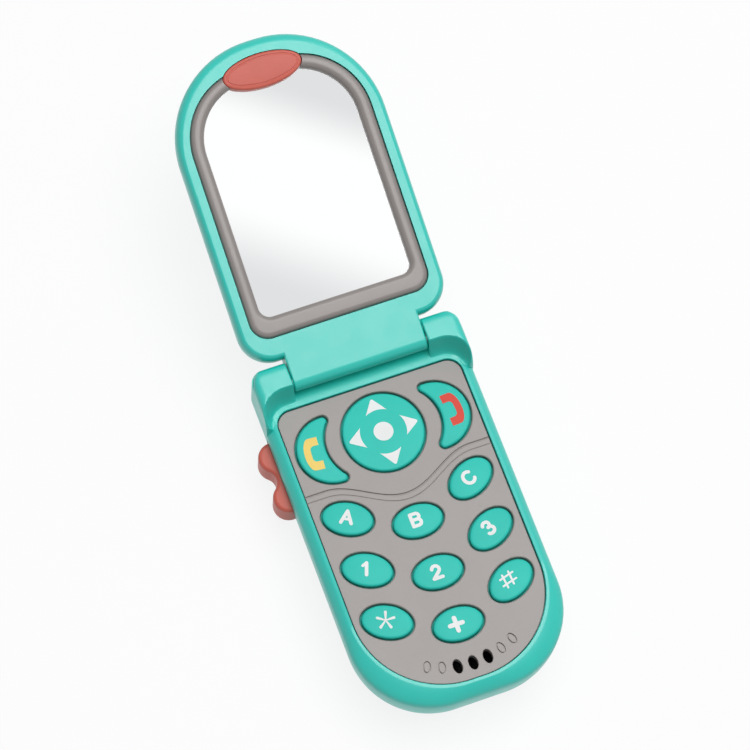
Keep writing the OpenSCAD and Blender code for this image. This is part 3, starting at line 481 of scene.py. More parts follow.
def blend_low(a, b, k):
    """The lower of two heights, with the corner between them rounded."""
    h = min(max(0.5 + 0.5 * (b - a) / k, 0), 1)
    return mix(b, a, h) - k * h * (1 - h)


def ear_z(x, y, end):
    """Height of a hinge ear: a flat top, round back and side, and a wall round the face's corner."""
    across = max(x - corner_x, 0)
    ahead = max(y - corner_y, 0)
    climb = min(max(math.hypot(across, ahead) - EAR_FOOT_R, 0) / EAR_WALL, EAR_CLIMB)
    wall = RIM_TOP - EAR_SINK + (EAR_TOP - RIM_TOP) * climb ** EAR_BEND
    out = max(x - base_high.x + EAR_ROUND, 0) / EAR_ROUND
    back = max(y - end + EAR_ROUND, 0) / EAR_ROUND
    top = EAR_TOP - EAR_ROUND * (1 - math.sqrt(max(1 - out * out - back * back, 0)))
    run = 1 - min(ahead / EAR_NOSE, 1)
    low = rim_z(x) - EAR_SINK
    nose = low + (EAR_TOP - low) * math.sqrt(1 - run * run)
    return blend_low(blend_low(wall, top, EAR_BLEND), nose, NOSE_BLEND)


def ear_section(x):
    """Section of a hinge ear across the hinge."""
    across = min(max(x - corner_x, 0), EAR_START_R)
    start = corner_y + math.sqrt(EAR_START_R ** 2 - across * across)
    turn = max(x - base_high.x + END_R, 0)
    end = base_high.y - END_R + math.sqrt(max(END_R * END_R - turn * turn, 0))
    flat_end = end - EAR_ROUND
    ys = [mix(start, flat_end, k / EAR_STEPS) for k in range(EAR_STEPS)]
    turns = [math.radians(90 * k / EAR_BACK_STEPS) for k in range(EAR_BACK_STEPS + 1)]
    ys += [flat_end + EAR_ROUND * math.sin(t) for t in turns]
    return [(start, EAR_UNDER)] + [(y, ear_z(x, y, end)) for y in ys] + [(end, EAR_UNDER)]


def add_ear(side, inner):
    """One hinge ear as a tool, from its inner side outwards."""
    start = inner + EAR_BEVEL
    span = base_high.x - inner - EAR_BEVEL
    turns = [math.radians(90 * k / EAR_STATIONS) for k in range(EAR_STATIONS + 1)]
    xs = [inner] + [start + span * math.sin(t) for t in turns]
    rings = []
    for i, x in enumerate(xs):
        down = EAR_BEVEL if i == 0 else 0
        rings.append([(side * x, y, max(z - down, EAR_UNDER)) for y, z in ear_section(x)])
    return solid("tool", rings, tool_finish)


def add_base_front():
    """The base's front shell: ledge, rim and sides, with ears, pin bore and rocker window."""
    rows = [(base_plan(-WALL - back_in(base_low.z, WALL)), base_low.z),
            (base_plan(-WALL), LEDGE_UNDER), (face_plan(-LEDGE_W), LEDGE_UNDER),
            (face_plan(-LEDGE_W), FACE_UNDER), (face_plan(FACE_GAP), FACE_UNDER),
            (face_plan(FACE_GAP), RIM_TOP - EDGE), (face_plan(FACE_GAP + EDGE), RIM_TOP)]
    rows += [(rim_plan(k / RIM_STEPS), rim_drop(k / RIM_STEPS)) for k in range(RIM_STEPS + 1)]
    rows += [(side_plan(z), z) for z in BACK_ROWS]
    rings = []
    for plan, z in rows:
        deck_z = min(z, RIM_TOP - DECK_DROP)
        rings.append([(x, y, deck_z if y > DECK_Y else z) for x, y in plan])
    shell = solid("base_front", rings, teal, closed_tube=True)
    for side in (-1, 1):
        combine(shell, add_ear(side, BARREL_HALF + EAR_GAP), "UNION")
    bore = turned_bar(PIN_R, HINGE_Y, HINGE_Z, PIN_BLIND - base_high.x, base_high.x + PAST)
    combine(shell, bore, "DIFFERENCE")
    low, high = mm_box("side_rocker")
    window = block((-base_high.x - PAST, low.y - ROCKER_ROOM, low.z - ROCKER_GAP),
                   (-base_high.x + WALL + ROCKER_DEEP, high.y + ROCKER_ROOM, high.z + ROCKER_GAP))
    combine(shell, window, "DIFFERENCE")
    tidy(shell, teal)
    stand_for(shell, "base_front_shell", "base")


def turned_bar(radius, y, z, x0, x1):
    """A round bar along X, used as a tool."""
    return bar([(y + a, z + b) for a, b in ellipse(radius, radius, BORE_STEPS)], x0, x1)


# The keys and the face plate

KEY_LEN = 13.3
KEY_WID = 8.8
KEY_TILT = 28.0
KEY_GAP = 0.45
KEY_TOP = mm_box("nav_pad")[1].z
KEY_DOME = 0.45
KEY_EDGE = 0.6
KEY_STEPS = 64
DOME_RINGS = (0.85, 0.7, 0.5, 0.3, 0.1)
FLANGE_W = 0.8
FLANGE_TOP = FACE_UNDER - 0.2
FLANGE_UNDER = mm_box("nav_pad")[0].z
PAD_R = 10.8
CRESCENT_R = 9.3
CRESCENT_IN_R = 11.6
CRESCENT_TIP_R = 1.1
CRESCENT_OUT = 23.6
CRESCENT_IN = 16.0
CRESCENT_FLANGE = 0.55
CRESCENT_STEPS = 28
TIP_STEPS = 6
HOLE_EDGE = 0.4
HOLE_STEPS = 4


def middle(node):
    """A node's middle, seen from above."""
    low, high = mm_box(node)
    return (low.x + high.x) / 2, (low.y + high.y) / 2


PAD_Y = middle("nav_pad")[1]
oval_keys = {}
for column, names in ((-1, ("key_a", "key_1", "key_star")), (0, ("key_b", "key_2", "key_plus")),
                      (1, ("key_c", "key_3", "key_hash"))):
    for name in names:
        oval_keys[name] = (middle(name), column * KEY_TILT)


def crescent_sides(grow):
    """The right crescent's two outlines, from its lower tip to its upper one, about the pad's middle."""
    out_x = CRESCENT_OUT - CRESCENT_R
    in_x = CRESCENT_IN - CRESCENT_IN_R
    to_out = CRESCENT_R - CRESCENT_TIP_R
    to_in = CRESCENT_IN_R + CRESCENT_TIP_R
    tip_x = (to_in ** 2 - to_out ** 2 + out_x ** 2 - in_x ** 2) / (2 * (out_x - in_x))
    tip_y = math.sqrt(to_out ** 2 - (tip_x - out_x) ** 2)
    out_a = math.degrees(math.atan2(tip_y, tip_x - out_x))
    in_a = math.degrees(math.atan2(tip_y, tip_x - in_x))
    half = (out_a + in_a + 180) / 2
    tip = CRESCENT_TIP_R + grow
    outer = (arc(tip_x, -tip_y, tip, -half, -out_a, TIP_STEPS)[:-1]
             + arc(out_x, 0, CRESCENT_R + grow, -out_a, out_a, CRESCENT_STEPS)
             + arc(tip_x, tip_y, tip, out_a, half, TIP_STEPS)[1:])
    inner = (arc(tip_x, -tip_y, tip, -half, -in_a - 180, TIP_STEPS)[:-1]
             + arc(in_x, 0, CRESCENT_IN_R - grow, -in_a, in_a, CRESCENT_STEPS)
             + arc(tip_x, tip_y, tip, in_a + 180, half, TIP_STEPS)[1:])
    return outer, inner


def crescent_ring(grow):
    """The right crescent's closed outline, grown by a distance."""
    outer, inner = crescent_sides(grow)
    return [(x, PAD_Y + y) for x, y in outer + inner[-2:0:-1]]


def dome_z(x, y, place, reach):
    """Height of a key's dome, which has fallen by its full drop at its reach."""
    return KEY_TOP - KEY_DOME * ((x - place[0]) ** 2 + (y - place[1]) ** 2) / reach ** 2


def key_rings(plan, flange, place, reach):
    """Rings of a key from under its flange up over its rounded edge."""
    rings = [lift(plan(flange), FLANGE_UNDER), lift(plan(flange), FLANGE_TOP), lift(plan(0), FLANGE_TOP)]
    for inset, down in reversed(quarter(KEY_EDGE, KEY_EDGE, EDGE_STEPS)):
        rings.append([(x, y, dome_z(x, y, place, reach) - down) for x, y in plan(-inset)])
    return rings


def add_round_key(name, a, b, place, angle):
    """An oval or round key with a low dome."""
    def plan(grow):
        return turned(ellipse(a + grow, b + grow, KEY_STEPS), angle, place)
    rings = key_rings(plan, FLANGE_W, place, a)
    for f in DOME_RINGS:
        outline = turned(ellipse((a - KEY_EDGE) * f, (b - KEY_EDGE) * f, KEY_STEPS), angle, place)
        rings.append([(x, y, dome_z(x, y, place, a)) for x, y in outline])
    key = solid(name + "_cap", rings, key_teal)
    level(key)
    stand_for(key, name, name)


def add_crescent(name, side):
    """A crescent key; the left one is the right one mirrored."""
    place = ((CRESCENT_IN + CRESCENT_OUT) / 2, PAD_Y)
    rings = key_rings(crescent_ring, CRESCENT_FLANGE, place, CRESCENT_R)
    points, faces = loft(rings, cap_first=True)
    outer, inner = crescent_sides(-KEY_EDGE)
    across = 8
    start = len(points)
    for a, b in zip(outer, inner):
        for k in range(across + 1):
            x = mix(a[0], b[0], k / across)
            y = PAD_Y + mix(a[1], b[1], k / across)
            points.append((x, y, dome_z(x, y, place, CRESCENT_R)))
    for i in range(len(outer) - 1):
        for k in range(across):
            p = start + i * (across + 1) + k
            faces.append((p, p + 1, p + across + 2, p + across + 1))
    key = piece(name + "_cap", [(side * x, y, z) for x, y, z in points], faces, key_teal)
    level(key)
    stand_for(key, name, name)


# The face's wave; each of its grooves has a shift down, a half width and a depth
WAVE_END = PAD_Y - 10.5
WAVE_DIP = 7.3
WAVE_HALF = 20.0
WAVE_PITCH = 1.7
WAVE_GROOVES = ((0, 0.2, 0.35), (WAVE_PITCH, 0.12, 0.18))

# The face's sound holes, which stand closer and rise towards the sides
SLOT_LEN = 3.8
SLOT_WID = 2.4
SLOT_PITCH = 4.15
SLOT_UP = 4.0
SLOT_EDGE = 0.2
SLOT_STEPS = 36
SLOT_CLOSER = 0.03
SLOT_RISE = 0.36
SLOT_FLATTER = 0.02
SLOT_TURN = 7
OUTER_SIZE = 0.85
SHALLOW = 0.5
SHALLOW_W = 0.35
SHALLOW_FLARE = 0.1

# The face's own edge, and the screw bosses under it
FACE_EDGE = 0.2
FACE_STEPS = 3
BOSS_R = 1.6
BOSS_STEPS = 32
BOSS_IN = 4.9
BOSS_DOWN = 3.3
BOSS_SHIFT = 0.3
BOSS_SINK = 0.2
PILOT_R = 0.7


def wave_y(x):
    """Height of the wave's line across the face."""
    dip = WAVE_DIP * (0.5 + 0.5 * math.cos(math.pi * x / WAVE_HALF)) if abs(x) < WAVE_HALF else 0
    return WAVE_END - dip


def hole(plan, edge):
    """A tool for an opening in the face, rounded at its upper edge; plan(d) is its outline grown by d."""
    rings = [lift(plan(0), FACE_UNDER - PAST)]
    rings += [lift(plan(i), FACE_Z - d) for i, d in reversed(quarter(edge, edge, HOLE_STEPS))]
    rings.append(lift(plan(edge), FACE_Z + PAST))
    return solid("tool", rings, tool_finish)


def wave_tool(down, half, depth):
    """A tool for one groove of the wave, with sloped sides; down is along the face."""
    reach = face_high.x + PAST
    steps = 96
    rings = []
    for k in range(steps + 1):
        x = mix(-reach, reach, k / steps)
        y = wave_y(x) - down
        rings.append([(x, y - 2 * half, FACE_Z + half), (x, y - half / 2, FACE_Z - depth),
                      (x, y + half / 2, FACE_Z - depth), (x, y + 2 * half, FACE_Z + half)])
    return solid("tool", rings, tool_finish)


def sound_hole(i):
    """A tool for one of seven sound holes: the middle three go through, the outer ones are outlined."""
    outer = abs(i) > 1
    size = OUTER_SIZE if outer else 1
    angle = SLOT_TURN * i if outer else 0
    place = (i * SLOT_PITCH - SLOT_CLOSER * i ** 3,
             face_low.y + SLOT_UP + SLOT_RISE * i * i - SLOT_FLATTER * abs(i) ** 3)

    def plan(grow):
        oval = ellipse(size * SLOT_WID / 2 + grow, size * SLOT_LEN / 2 + grow, SLOT_STEPS)
        return turned(oval, angle, place)
    if outer:
        rows = [(SHALLOW_FLARE, FACE_Z + PAST), (0, FACE_Z - SHALLOW), (-SHALLOW_W, FACE_Z - SHALLOW),
                (-SHALLOW_W, FACE_Z + PAST)]
        return solid("tool", [lift(plan(grow), z) for grow, z in rows], tool_finish, closed_tube=True)
    return hole(plan, SLOT_EDGE)


def key_hole(a, b, place, angle):
    """A tool for the opening of an oval or round key."""
    def plan(grow):
        return turned(ellipse(a + KEY_GAP + grow, b + KEY_GAP + grow, KEY_STEPS), angle, place)
    return hole(plan, HOLE_EDGE)


def crescent_hole(side):
    """A tool for the opening of a crescent key."""
    def plan(grow):
        return [(side * x, y) for x, y in crescent_ring(KEY_GAP + grow)]
    return hole(plan, HOLE_EDGE)


def add_fascia():
    """The face plate with its openings and grooves, and the screw bosses under it."""
    edge = quarter(FACE_EDGE, FACE_EDGE, FACE_STEPS)
    rings = [lift(face_plan(0), FACE_UNDER)]
    rings += [lift(face_plan(-i), FACE_Z - d) for i, d in reversed(edge)]
    plate = solid("face_plate", rings, grey)
    tools = [key_hole(KEY_LEN / 2, KEY_WID / 2, place, angle) for place, angle in oval_keys.values()]
    tools += [key_hole(PAD_R, PAD_R, (0, PAD_Y), 0), crescent_hole(1), crescent_hole(-1)]
    tools += [sound_hole(i) for i in range(-3, 4)]
    tools += [wave_tool(*groove) for groove in WAVE_GROOVES]
    for tool in tools:
        combine(plate, tool, "DIFFERENCE")
    row_y = middle("key_a")[1]
    row_pitch = row_y - middle("key_1")[1]
    column_x = middle("key_c")[0]
    low_y = middle("key_plus")[1] + row_pitch / 2 + BOSS_SHIFT
    bosses = ((face_high.x - BOSS_IN, face_high.y - BOSS_DOWN), (column_x / 2 - BOSS_SHIFT, low_y))
    for side in (-1, 1):
        for x, y in bosses:
            spot = (side * x, y)
            round_post = turned(ellipse(BOSS_R, BOSS_R, BOSS_STEPS), 0, spot)
            combine(plate, prism(round_post, face_low.z, FACE_UNDER + BOSS_SINK), "UNION")
            pilot = turned(ellipse(PILOT_R, PILOT_R, BOSS_STEPS), 0, spot)
            combine(plate, prism(pilot, face_low.z - PAST, FACE_UNDER), "DIFFERENCE")
    tidy(plate, grey)
    stand_for(plate, "keypad_fascia", "base")


# The rocker on the left side, drawn outwards from the base's side and along it

ROCKER_LEN = 20.0
ROCKER_OUT = 3.9
ROCKER_WAIST = 1.2
ROCKER_R = 4.2
ROCKER_IN = 3.4
ROCKER_EDGE = 1.0
END_STEPS = 36
WAIST_STEPS = 16
PIVOT_IN = 5.2
PIVOT_R = 1.25
PIVOT_BOSS_R = 2.4
ARM_H = 4.0


def rocker_outline(inset):
    """Two round ends with a waist between them, drawn in by a distance."""
    u = ROCKER_LEN / 2 - ROCKER_R
    v = ROCKER_OUT - ROCKER_R
    waist_r = (u * u + (ROCKER_WAIST - v) ** 2 - ROCKER_R ** 2) / (2 * (ROCKER_R - ROCKER_WAIST + v))
    waist_v = ROCKER_WAIST + waist_r
    touch = math.degrees(math.atan2(-u, waist_v - v))
    radius = ROCKER_R - inset
    back = 360 - math.degrees(math.acos((inset - ROCKER_IN - v) / radius))
    upper = arc(v, u, radius, touch, back, END_STEPS)
    lower = [(a, -b) for a, b in reversed(upper)]
    waist = arc(waist_v, 0, waist_r + inset, -180 - touch, -180 + touch, WAIST_STEPS)
    return upper + lower + waist[1:-1]


def add_rocker():
    """The rocker's cap with the arm behind it and the bore of its pivot."""
    low, high = mm_box("side_rocker")
    side_y = (low.y + high.y) / 2
    side_z = (low.z + high.z) / 2
    edge = quarter(ROCKER_EDGE, ROCKER_EDGE, EDGE_STEPS)
    rows = [(i, high.z - d) for i, d in edge]
    rows += [(i, low.z + d) for i, d in reversed(edge)]
    rings = []
    for inset, z in rows:
        rings.append([(-base_high.x - v, side_y + u, z) for v, u in rocker_outline(inset)])
    rocker = solid("rocker_cap", rings, coral)
    pivot = (PIVOT_IN - base_high.x, side_y)
    arm_low = side_z - ARM_H / 2
    arm_high = side_z + ARM_H / 2
    combine(rocker, block((-base_high.x, side_y - PIVOT_BOSS_R, arm_low),
                          (pivot[0], side_y + PIVOT_BOSS_R, arm_high)), "UNION")
    boss = turned(ellipse(PIVOT_BOSS_R, PIVOT_BOSS_R), 0, pivot)
    combine(rocker, prism(boss, arm_low, arm_high), "UNION")
    bore = turned(ellipse(PIVOT_R, PIVOT_R), 0, pivot)
    combine(rocker, prism(bore, low.z - PAST, high.z + PAST), "DIFFERENCE")
    tidy(rocker, coral)
    stand_for(rocker, "side_rocker", "side_rocker")


# What is printed on the keys

INK = 0.05
INK_SMOOTH = 40
LAYER = 0.1
SLICE = 1.0
STROKE_STEPS = 8
ARROW_TIP = 9.4
ARROW_ROOT = 6.2
ARROW_HALF = 2.9
ARROW_ROUND = 0.45
DOT_R = 2.6
ICON_X = 19.5
ICON_TURN = 4.0
STAR_ARMS = 5
STAR_TURN = 100
STAR_R = 2.25
STAR_ROOT_W = 0.17
STAR_TIP_W = 0.37


def ink_on(name, flat, faces, place, reach, body, material):
    """A thin printed mark: flat points with an upper and a lower layer, laid over a key's dome."""
    points = []
    flat, faces = sliced(flat, faces)
    for x, y, upper in flat:
        points.append((x, y, dome_z(x, y, place, reach) + (INK if upper else -INK)))
    mark = piece(name, points, faces, material, INK_SMOOTH)
    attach(mark, body)


def sliced(flat, faces):
    """Cuts a flat mark along a grid, so that it can follow a dome."""
    made = bmesh.new()
    corners = [made.verts.new((x, y, LAYER if upper else -LAYER)) for x, y, upper in flat]
    for face in faces:
        made.faces.new([corners[k] for k in face])
    for axis in (0, 1):
        low = min(v.co[axis] for v in made.verts)
        high = max(v.co[axis] for v in made.verts)
        cuts = int((high - low) / SLICE)
        for k in range(1, cuts + 1):
            spot = Vector((0, 0, 0))
            spot[axis] = mix(low, high, k / (cuts + 1))
            way = Vector((0, 0, 0))
            way[axis] = 1
            parts = made.verts[:] + made.edges[:] + made.faces[:]
            bmesh.ops.bisect_plane(made, geom=parts, plane_co=spot, plane_no=way)
    made.verts.index_update()
    flat = [(v.co.x, v.co.y, v.co.z > 0) for v in made.verts]
    faces = [tuple(v.index for v in f.verts) for f in made.faces]
    made.free()
    return flat, faces


def flat_mark(outline):
    """Points and faces of a mark with one outline, in two layers."""
    count = len(outline)
    flat = [(x, y, True) for x, y in outline] + [(x, y, False) for x, y in outline]
    faces = [tuple(range(count)), tuple(range(2 * count - 1, count - 1, -1))]
    faces += [(k, k + count, (k + 1) % count + count, (k + 1) % count) for k in range(count)]
    return flat, faces


def joined_mark(outlines):
    """Points and faces of a mark joined from several outlines, in two layers."""
    mark = prism(outlines[0], -LAYER, LAYER)
    for outline in outlines[1:]:
        combine(mark, prism(outline, -LAYER, LAYER), "UNION")
    flat = [(v.co.x / MM, v.co.y / MM, v.co.z > 0) for v in mark.data.vertices]
    faces = [tuple(f.vertices) for f in mark.data.polygons]
    mesh = mark.data
    bpy.data.objects.remove(mark)
    bpy.data.meshes.remove(mesh)
    return flat, faces


def stroke(points, start_w, end_w):
    """Outline of a line with round ends, whose half width may change on its way."""
    last = len(points) - 1
    sides = {-90: [], 90: []}
    angles = []
    for i, p in enumerate(points):
        a = points[max(i - 1, 0)]
        b = points[min(i + 1, last)]
        angles.append(math.degrees(math.atan2(b[1] - a[1], b[0] - a[0])))
        for turn, side in sides.items():
            t = math.radians(angles[i] + turn)
            w = mix(start_w, end_w, i / last)
            side.append((p[0] + w * math.cos(t), p[1] + w * math.sin(t)))
    start = arc(*points[0], start_w, angles[0] + 90, angles[0] + 270, STROKE_STEPS)
    end = arc(*points[last], end_w, angles[last] - 90, angles[last] + 90, STROKE_STEPS)
    return start + sides[-90][1:-1] + end + sides[90][-2:0:-1]


def oval_arc(place, a, b, a0, a1, count):
    """Points along an arc of an ellipse; angles in degrees."""
    return [(place[0] + a * x, place[1] + b * y) for x, y in arc(0, 0, 1, a0, a1, count)]


def star_arms():
    """The star's lines from its middle outwards."""
    arms = []
    for k in range(STAR_ARMS):
        t = math.radians(STAR_TURN + 360 * k / STAR_ARMS)
        arms.append(([(0, 0), (STAR_R * math.cos(t), STAR_R * math.sin(t))], STAR_ROOT_W, STAR_TIP_W))
    return arms


# Half widths of the legends' lines
BOLD = 0.46
FLAG = 0.42
FINE = 0.36
WIDE = 0.58
THIN = 0.26


def even(points, half_w=BOLD):
    """A line with one half width all along."""
    return points, half_w, half_w


# Each legend: where it sits from its key's middle, its own turn, and its lines with two half widths
legends = {
    "key_a": ((-0.3, 0.3), 0, [even([(-1.36, -1.65), (0, 1.6)]), even([(0, 1.6), (1.36, -1.65)]),
                               even([(-0.85, -0.6), (0.85, -0.6)], FINE)]),
    "key_b": ((-0.5, 0.3), 0, [even([(-1.15, -1.65), (-1.15, 1.65)]),
                               even([(-1.15, 1.65), (0.2, 1.65)] + arc(0.25, 0.85, 0.8, 85, -90, 10)
                                    + [(-1.15, 0.05)]),
                               even([(-1.15, 0.05), (0.25, 0.05)] + arc(0.3, -0.8, 0.85, 85, -90, 10)
                                    + [(-1.15, -1.65)])]),
    "key_c": ((-0.5, 0.3), 0, [even(oval_arc((0.1, 0), 1.45, 1.65, 42, 318, 26))]),
    "key_1": ((-0.6, 0.1), 8, [even([(0.35, 1.6), (0.35, -1.6)]),
                               ([(0.35, 1.6), (-0.65, 0.8)], FLAG, FINE)]),
    "key_2": ((-0.5, 0), 0, [even(arc(0, 0.68, 0.98, 165, -35, 16) + [(-1.15, -1.65)]),
                             even([(-1.15, -1.65), (1.2, -1.65)])]),
    "key_3": ((-0.4, 0.5), 0, [even(oval_arc((0, 0.92), 0.95, 0.83, 155, -90, 14)),
                               even(oval_arc((0, -0.83), 1.05, 0.92, 90, -155, 14))]),
    "key_star": ((-0.45, 0.2), 0, star_arms()),
    "key_plus": ((-0.6, -0.1), 0, [even([(0, -1.75), (0, 1.75)], WIDE), even([(-1.7, 0), (1.7, 0)], WIDE)]),
    "key_hash": ((-0.25, 0.6), 0, [even([(-1.9, 1.35), (2.0, 0.5)], THIN),
                                   even([(-2.5, -0.4), (1.4, -1.3)], THIN),
                                   even([(-0.6, 1.8), (-1.9, -1.5)], THIN),
                                   even([(1.3, 1.4), (-0.15, -1.9)], THIN)]),
}


def arrow_outline():
    """An arrow head that points along +Y from the pad's middle, with a hollowed base and a rounded tip."""
    spread = math.degrees(math.asin(ARROW_HALF / ARROW_ROOT))
    slope = math.degrees(math.atan2(ARROW_TIP - ARROW_ROOT, ARROW_HALF))
    root = arc(0, 0, ARROW_ROOT, 90 + spread, 90 - spread, 12)
    tip_y = ARROW_TIP - ARROW_ROUND
    return root + arc(0, tip_y, ARROW_ROUND, 90 - slope, 90 + slope, 8)


def handset_outline():
    """A telephone handset that opens towards +X: a curved grip with a block at each end."""
    tall = 4.5
    reach = 2.05
    jaw = 2.2
    inner_r = 1.1
    inner_x = 0.7
    grip_x = -0.3
    grip_out = 1.95
    grip = oval_arc((grip_x, 0), grip_out, tall, 90, 270, 24)
    lower = [(reach, -tall), (reach, -jaw)] + arc(inner_x, -jaw + inner_r, inner_r, 270, 180, 8)
    upper = arc(inner_x, jaw - inner_r, inner_r, 180, 90, 8) + [(reach, jaw), (reach, tall)]
    return grip + lower + upper


def add_legends():
    """The signs on the oval keys, the pad's dot and arrows, and the two handsets."""
    for name, (shift, turn, lines) in legends.items():
        place, angle = oval_keys[name]
        spot = turned([shift], angle, place)[0]
        outlines = [turned(stroke(*line), angle + turn, spot) for line in lines]
        mark = joined_mark(outlines)
        ink_on(name.replace("key_", "legend_"), *mark, place, KEY_LEN / 2, name, white_ink)
    pad = (0, PAD_Y)
    dot = flat_mark(turned(ellipse(DOT_R, DOT_R), 0, pad))
    ink_on("pad_dot", *dot, pad, PAD_R, "nav_pad", white_ink)
    for name, angle in (("up", 0), ("left", 90), ("down", 180), ("right", 270)):
        arrow = flat_mark(turned(arrow_outline(), angle, pad))
        ink_on("pad_" + name, *arrow, pad, PAD_R, "nav_pad", white_ink)
    dome_x = (CRESCENT_IN + CRESCENT_OUT) / 2
    outline = turned(handset_outline(), -ICON_TURN, (-ICON_X, PAD_Y))
    ink_on("answer_icon", *flat_mark(outline), (-dome_x, PAD_Y), CRESCENT_R, "call_key", yellow_ink)
    mirrored = [(-x, y) for x, y in reversed(outline)]
    ink_on("end_icon", *flat_mark(mirrored), (dome_x, PAD_Y), CRESCENT_R, "end_key", red_ink)


def add_keys():
    for name, (place, angle) in oval_keys.items():
        add_round_key(name, KEY_LEN / 2, KEY_WID / 2, place, angle)
    add_round_key("nav_pad", PAD_R, PAD_R, (0, PAD_Y), 0)
    add_crescent("end_key", 1)
    add_crescent("call_key", -1)


# The lid: front shell, mirror frame and badge, drawn from the hinge axis and turned to the open angle

OPEN_ANGLE = 16.26
LID_HALF = mm_box("lid_rear_shell")[1].x
LID_Y0 = 6.4
LID_Y1 = 89.0
LID_LOW_R = 8.5
LID_CROWN_R = 27.0
LID_FACE = 2.7
LID_PARTING = -1.3
LID_EDGE = 3.0
LID_EDGE_W = 1.6
LID_EDGE_STEPS = 9

# The hinge barrel at the lid's lower end
BARREL_HALF = 18.5
BARREL_BEVEL = 0.35
BARREL_END = 331
BARREL_FOOT = 2.5
BARREL_STEPS = 32

# The mirror's frame, the view inside it and the mirror's seat
BEZEL_HALF = 24.72
BEZEL_Y0 = 12.33
BEZEL_Y1 = 82.1
BEZEL_LOW_R = 5.0
BEZEL_CROWN_R = 19.1
BEZEL_FRONT = LID_FACE + 0.4
BEZEL_EDGE = 1.6
BEZEL_STEPS = 6
VIEW_HALF = 20.95
VIEW_Y0 = 17.8
VIEW_Y1 = 78.5
VIEW_LOW_R = 3.0
VIEW_CROWN_R = 15.5
MIRROR_Z = LID_FACE - 1.9
MIRROR_T = 1.0
MIRROR_SEAT = 1.7
BEZEL_GAP = 0.1

# The badge over the frame's top, and its groove as steps inwards and down
BADGE_Y = BEZEL_Y1 - 1.9
BADGE_LEN = 21.7
BADGE_WID = 9.0
BADGE_GAP = 0.1
BADGE_STEPS = 72
BADGE_EDGE = 0.5
BADGE_DROP = 0.35
GROOVE = 0.15
GROOVE_ROWS = ((0.85, 0), (1.0, GROOVE), (1.25, GROOVE), (1.4, 0))
BADGE_RINGS = (0.8, 0.65, 0.4, 0.15)


def lid_edge_plan(inset):
    """The lid's plan drawn in for its rounded edge, which is wider over the crown."""
    more = inset * LID_EDGE / LID_EDGE_W
    return round_plan(LID_HALF - inset, LID_Y0 + inset, LID_Y1 - more, LID_LOW_R - inset,
                      LID_CROWN_R - inset)


def bezel_plan(grow):
    return round_plan(BEZEL_HALF + grow, BEZEL_Y0 - grow, BEZEL_Y1 + grow, BEZEL_LOW_R + grow,
                      BEZEL_CROWN_R + grow)


def view_plan(grow):
    return round_plan(VIEW_HALF + grow, VIEW_Y0 - grow, VIEW_Y1 + grow, VIEW_LOW_R + grow,
                      VIEW_CROWN_R + grow)


def badge_plan(grow):
    return turned(ellipse(BADGE_LEN / 2 + grow, BADGE_WID / 2 + grow, BADGE_STEPS), 0, (0, BADGE_Y))


lid_place = (Matrix.Translation((0, HINGE_Y * MM, HINGE_Z * MM))
             @ Matrix.Rotation(math.radians(OPEN_ANGLE), 4, "X"))


def set_on_lid(thing, node):
    """Turns a piece drawn from the hinge axis to the open angle and lets it stand for its node."""
    thing.data.transform(lid_place)
    stand_for(thing, node, "lid")


def barrel_section(down):
    """Section of the hinge barrel and the web behind it, drawn in by an end bevel."""
    r = LID_FACE - down
    root = LID_Y0 + LID_EDGE
    low = LID_PARTING + down
    return [(root, low), (root, r)] + arc(0, 0, r, 90, BARREL_END, BARREL_STEPS) + [(BARREL_FOOT, low)]


def add_barrel():
    """The hinge barrel as a tool, bevelled at both ends."""
    inner = BARREL_HALF - BARREL_BEVEL
    stations = [(-BARREL_HALF, BARREL_BEVEL), (-inner, 0), (inner, 0), (BARREL_HALF, BARREL_BEVEL)]
    rings = [[(x, y, z) for y, z in barrel_section(down)] for x, down in stations]
    return solid("tool", rings, tool_finish)


def add_lid_front():
    """The lid's front shell with its barrel and the seats of frame, mirror and badge."""
    edge = quarter(LID_EDGE_W, LID_EDGE, LID_EDGE_STEPS)
    rows = [(lid_edge_plan(0), LID_PARTING)]
    rows += [(lid_edge_plan(i), LID_FACE - d) for i, d in reversed(edge)]
    rows += [(bezel_plan(BEZEL_GAP), LID_FACE), (bezel_plan(BEZEL_GAP), MIRROR_Z),
             (view_plan(MIRROR_SEAT), MIRROR_Z), (view_plan(MIRROR_SEAT), MIRROR_Z - MIRROR_T)]
    shell = solid("lid_front", [lift(plan, z) for plan, z in rows], teal)
    combine(shell, add_barrel(), "UNION")
    combine(shell, turned_bar(PIN_R + PIN_PLAY, 0, 0, -LID_HALF, LID_HALF), "DIFFERENCE")
    combine(shell, prism(badge_plan(BADGE_GAP), MIRROR_Z, LID_FACE + PAST), "DIFFERENCE")
    tidy(shell, teal)
    set_on_lid(shell, "lid_front_shell")


def add_bezel():
    """The mirror's frame, rounded outside and inside, with the badge's recess."""
    edge = quarter(BEZEL_EDGE, BEZEL_EDGE, BEZEL_STEPS)
    rows = [(bezel_plan(0), MIRROR_Z)]
    rows += [(bezel_plan(-i), BEZEL_FRONT - d) for i, d in reversed(edge)]
    rows += [(view_plan(i), BEZEL_FRONT - d) for i, d in edge]
    rows += [(view_plan(0), MIRROR_Z)]
    frame_ring = solid("bezel_ring", [lift(plan, z) for plan, z in rows], grey, closed_tube=True)
    recess = prism(badge_plan(BADGE_GAP), MIRROR_Z - PAST, BEZEL_FRONT + PAST)
    combine(frame_ring, recess, "DIFFERENCE")
    tidy(frame_ring, grey)
    set_on_lid(frame_ring, "mirror_bezel")


